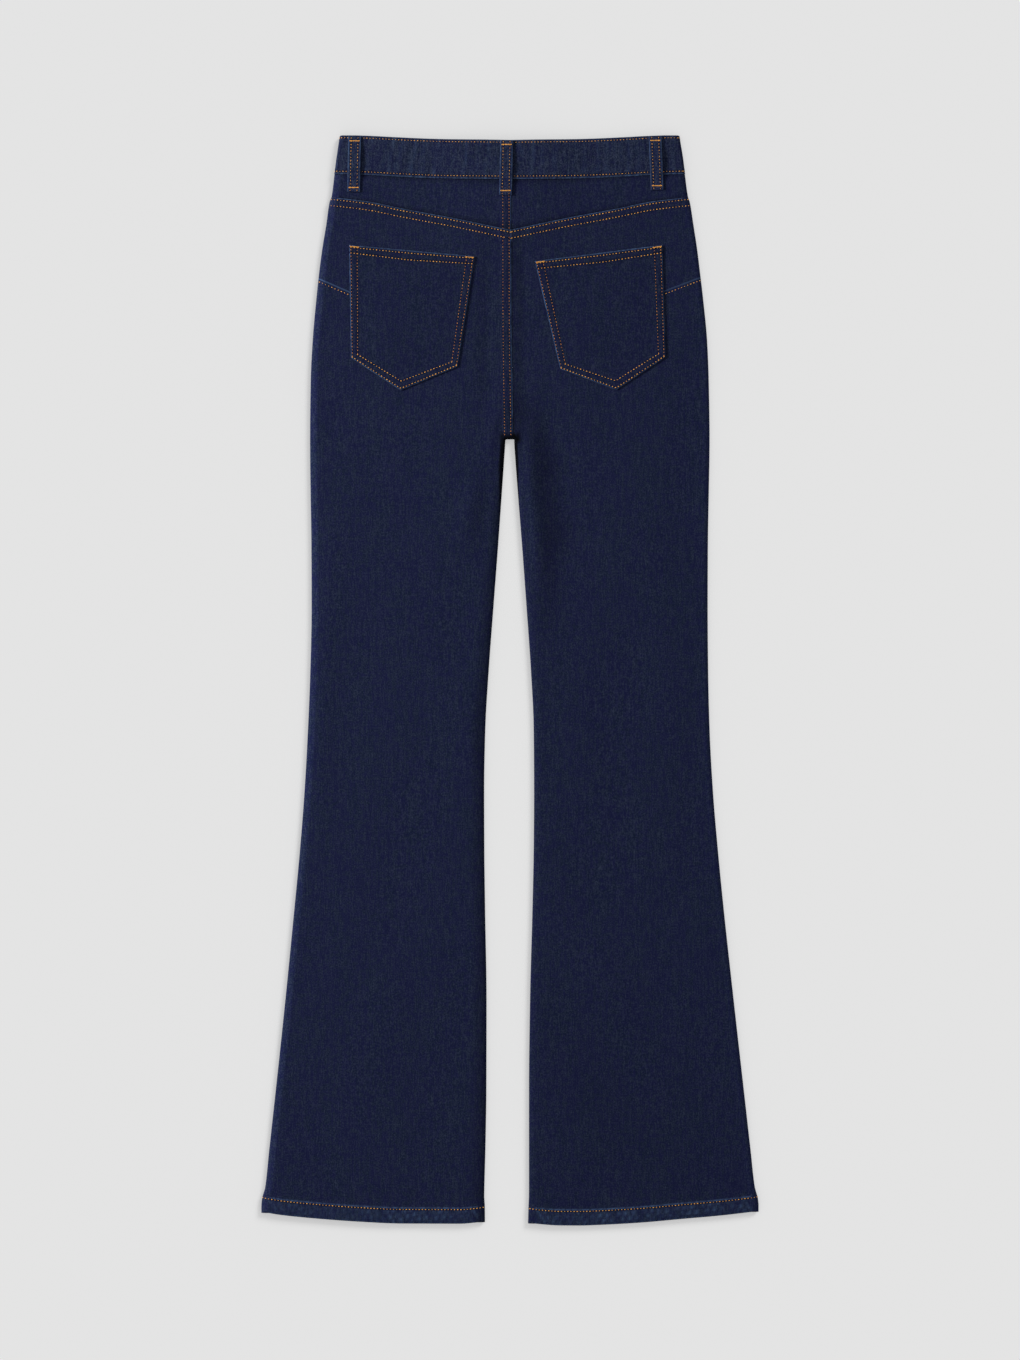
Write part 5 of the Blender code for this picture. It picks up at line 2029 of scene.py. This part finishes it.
@dataclass
class Jeans:
    """The whole garment, piece by piece."""

    finishes: Finishes = field(default_factory=Finishes)

    def build(self) -> None:
        """Makes every piece and puts it on the frame."""
        self.fronts()
        self.inside()
        self.backs()
        self.waist()
        self.topstitching()
        self.metal()

    def fronts(self) -> None:
        """The front panels."""
        for side in Side:
            FrontPanel(side, self.finishes).build().stands_for("front_leg_" + side.label)

    def inside(self) -> None:
        """The pieces between the plies."""
        p = PATTERN
        inside = InsidePieces(self.finishes)
        for side in Side:
            under = ["jeans_front_leg_" + side.label]
            inside.facing(side).stands_for("pocket_facing_" + side.label, rests_on=under)
        start = float(p.front_band_edge(0.0))
        zip_rows = np.linspace(start + 17.3, p.fly_end - 6, 30)
        tape = inside.strip("jeans_zip", np.linspace(-6, 6, 7), zip_rows, p.tuck, 1.1)
        tape.stands_for("zip", rests_on=["jeans_front_leg_left"])
        rows = np.linspace(start + 0.3, p.fly_end, 34)
        shield = inside.strip("jeans_fly_shield", np.linspace(-24, 22, 12), rows, p.tuck + 1.75, 0.9)
        shield.stands_for("fly_shield", rests_on=["jeans_zip"])

    def backs(self) -> None:
        """The back legs, the yoke and the patch pockets."""
        self.pockets = [
            BackPocket(Side.LEFT, LEFT_POCKET, self.finishes),
            BackPocket(Side.RIGHT, RIGHT_POCKET, self.finishes),
        ]
        for side in Side:
            under = ["jeans_front_leg_" + side.label]
            LegPanel(side, self.finishes).build().stands_for("back_leg_" + side.label, rests_on=under)
            Yoke(side, self.finishes).build().stands_for("yoke_" + side.label, rests_on=under)
        for pocket in self.pockets:
            node = "back_pocket_" + pocket.side.label
            pocket.build().stands_for(node, rests_on=["jeans_back_leg_" + pocket.side.label])

    def waist(self) -> None:
        """The waistband and its five loops."""
        self.band = Waistband(self.finishes)
        self.band.build().stands_for("waistband", rests_on=["jeans_front_leg_left", "jeans_front_leg_right"])
        front = float(PATTERN.front_edge(95.0))
        places = (
            ("back_left", (-161.4, 1.6), (-162.6, 58.9)),
            ("back_centre", (-3.4, 6.0), (-4.6, 62.5)),
            ("back_right", (150.9, 1.3), (153.0, 56.8)),
            ("front_left", (-95.0, front + 1), (-95.0, front + 56)),
            ("front_right", (95.0, front + 1), (95.0, front + 56)),
        )
        self.loops = [
            BeltLoop("belt_loop_" + name, top, low, self.finishes, front=name.startswith("front"))
            for name, top, low in places
        ]
        tree = BeltLoop.sweeping_tree()
        for loop in self.loops:
            loop.build(tree)

    def seat_lines(self) -> list[Array]:
        """Two rows under the yoke seam and one under each dart, on both sides.

        Returns:
            Points along each row, in millimetres.
        """
        p = PATTERN
        lines = []
        for side in Side:
            for inset in FELL.stitches:
                start = float(p.seam_u(side, 98.0)) + (1.0 if side is Side.LEFT else 0.5)
                u = np.linspace(start, 186.0, 120)
                d = p.yoke_edge(u) + p.gap + inset
                u = np.minimum(u, p.outer(side, d) - 1.5)
                lines.append(p.over_top(side, u, d, float(FELL.relief(inset)) + 0.1))
        t = np.linspace(0.02, 0.97, 20)
        for side, dart in DARTS.items():
            u, d = (mix(a, b, t) for a, b in zip(dart.outer, dart.inner))
            lines.append(p.over_top(side, u, d + 3.1, 0.1))
        return lines

    def centre_lines(self) -> list[Array]:
        """Two rows down the centre-back seam, fading into the crotch."""
        p = PATTERN
        d = np.concatenate([np.linspace(47.0, 96.0, 30), np.linspace(99.0, p.crotch - 5, 100)])
        fade = 1 - smooth((d - p.crotch + 14) / 12)
        lifts = {inset: float(FELL.relief(inset)) * fade for inset in FELL.stitches}
        return [p.over_top(Side.LEFT, s - p.centre_seam(d), d, lift) for s, lift in lifts.items()]

    def hem_lines(self) -> list[Array]:
        """One row over each hem at the back."""
        p, lines = PATTERN, []
        for side in Side:
            u = np.linspace(float(p.inner(side, 1112)) + 1.5, float(p.outer(side, 1112)) - 1.5, 120)
            lift = float(HEM_SECTION.relief(HEM_ROW)) + 0.1
            lines.append(p.over_top(side, u, p.above_hem(side, u, HEM_ROW), lift))
        return lines

    def teeth_line(self) -> list[Array]:
        """The closed zip's teeth, on its tape."""
        p = PATTERN
        d = np.linspace(float(p.front_band_edge(0.0)) + 19, p.fly_end - 10, 60)
        x = np.zeros(len(d))
        return [p.place(Side.RIGHT, x, d, p.front_lift(x, d) + p.tuck + 1.1)]

    def topstitching(self) -> None:
        """Every row of stitches, every bartack and the zip's teeth."""
        sewing = Stitching(self.finishes)
        teeth = {"pitch": 1.25, "length": 4.2, "width": 0.9, "height": 0.9, "turn": math.pi / 2}
        sewing.sew("zip_teeth", self.teeth_line(), finish="metal", sway=0.0, uneven=0.0, **teeth)
        sewing.sew("stitches_waistband_back", self.band.stitch_lines(back=True), width=0.52)
        sewing.sew("stitches_waistband_front", self.band.stitch_lines(back=False))
        sewing.sew("stitches_centre_seam", self.centre_lines(), finish="rust", width=0.5)
        sewing.sew("stitches_seat", self.seat_lines())
        for pocket in self.pockets:
            sides, ends = pocket.stitch_lines()
            sewing.sew("stitches_pocket_sides_" + pocket.side.label, sides, finish="rust", width=0.6)
            sewing.sew("stitches_pocket_ends_" + pocket.side.label, ends)
        sewing.sew("stitches_hem_back", self.hem_lines())
        for side in Side:
            sewing.sew("stitches_front_" + side.label, FrontPanel(side, self.finishes).stitch_lines())
        columns = [loop.surface(offset, trim=True) for loop in self.loops for offset in (-3.5, 3.5)]
        sewing.sew("stitches_loops", columns, width=0.45)
        self.bartacks(sewing)

    def bartacks(self, sewing: Stitching) -> None:
        """The close bars at the loops' ends and the pockets' corners."""
        bars = []
        for loop in self.loops:
            across = np.stack([loop.surface(offset) for offset in np.linspace(-5.0, 5.0, 9)])
            bars += [across[:, 3], across[:, -4]]
        for pocket in self.pockets:
            wide, tall = pocket.size()
            s = np.linspace(1.0, 10.0, 9) / wide
            bars += [pocket.surface(share, np.full(9, 1.6 / tall)) for share in (s, 1 - s)]
        sewing.bars("bartacks", bars)

    def metal(self) -> None:
        """The button and the slider keep their own shape and take their metal."""
        for node in ("waist_button", "zip_slider"):
            made = bpy.data.objects[node]
            made.data.materials.clear()
            made.data.materials.append(self.finishes.metal)
            LOG.info("%s dressed", node)


def main() -> None:
    """Builds the garment on the frame, then its studio."""
    logging.basicConfig(level=logging.INFO, format="%(name)s: %(message)s")
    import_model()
    Jeans().build()
    Studio().build()
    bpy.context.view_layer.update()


if __name__ == "__main__":
    main()
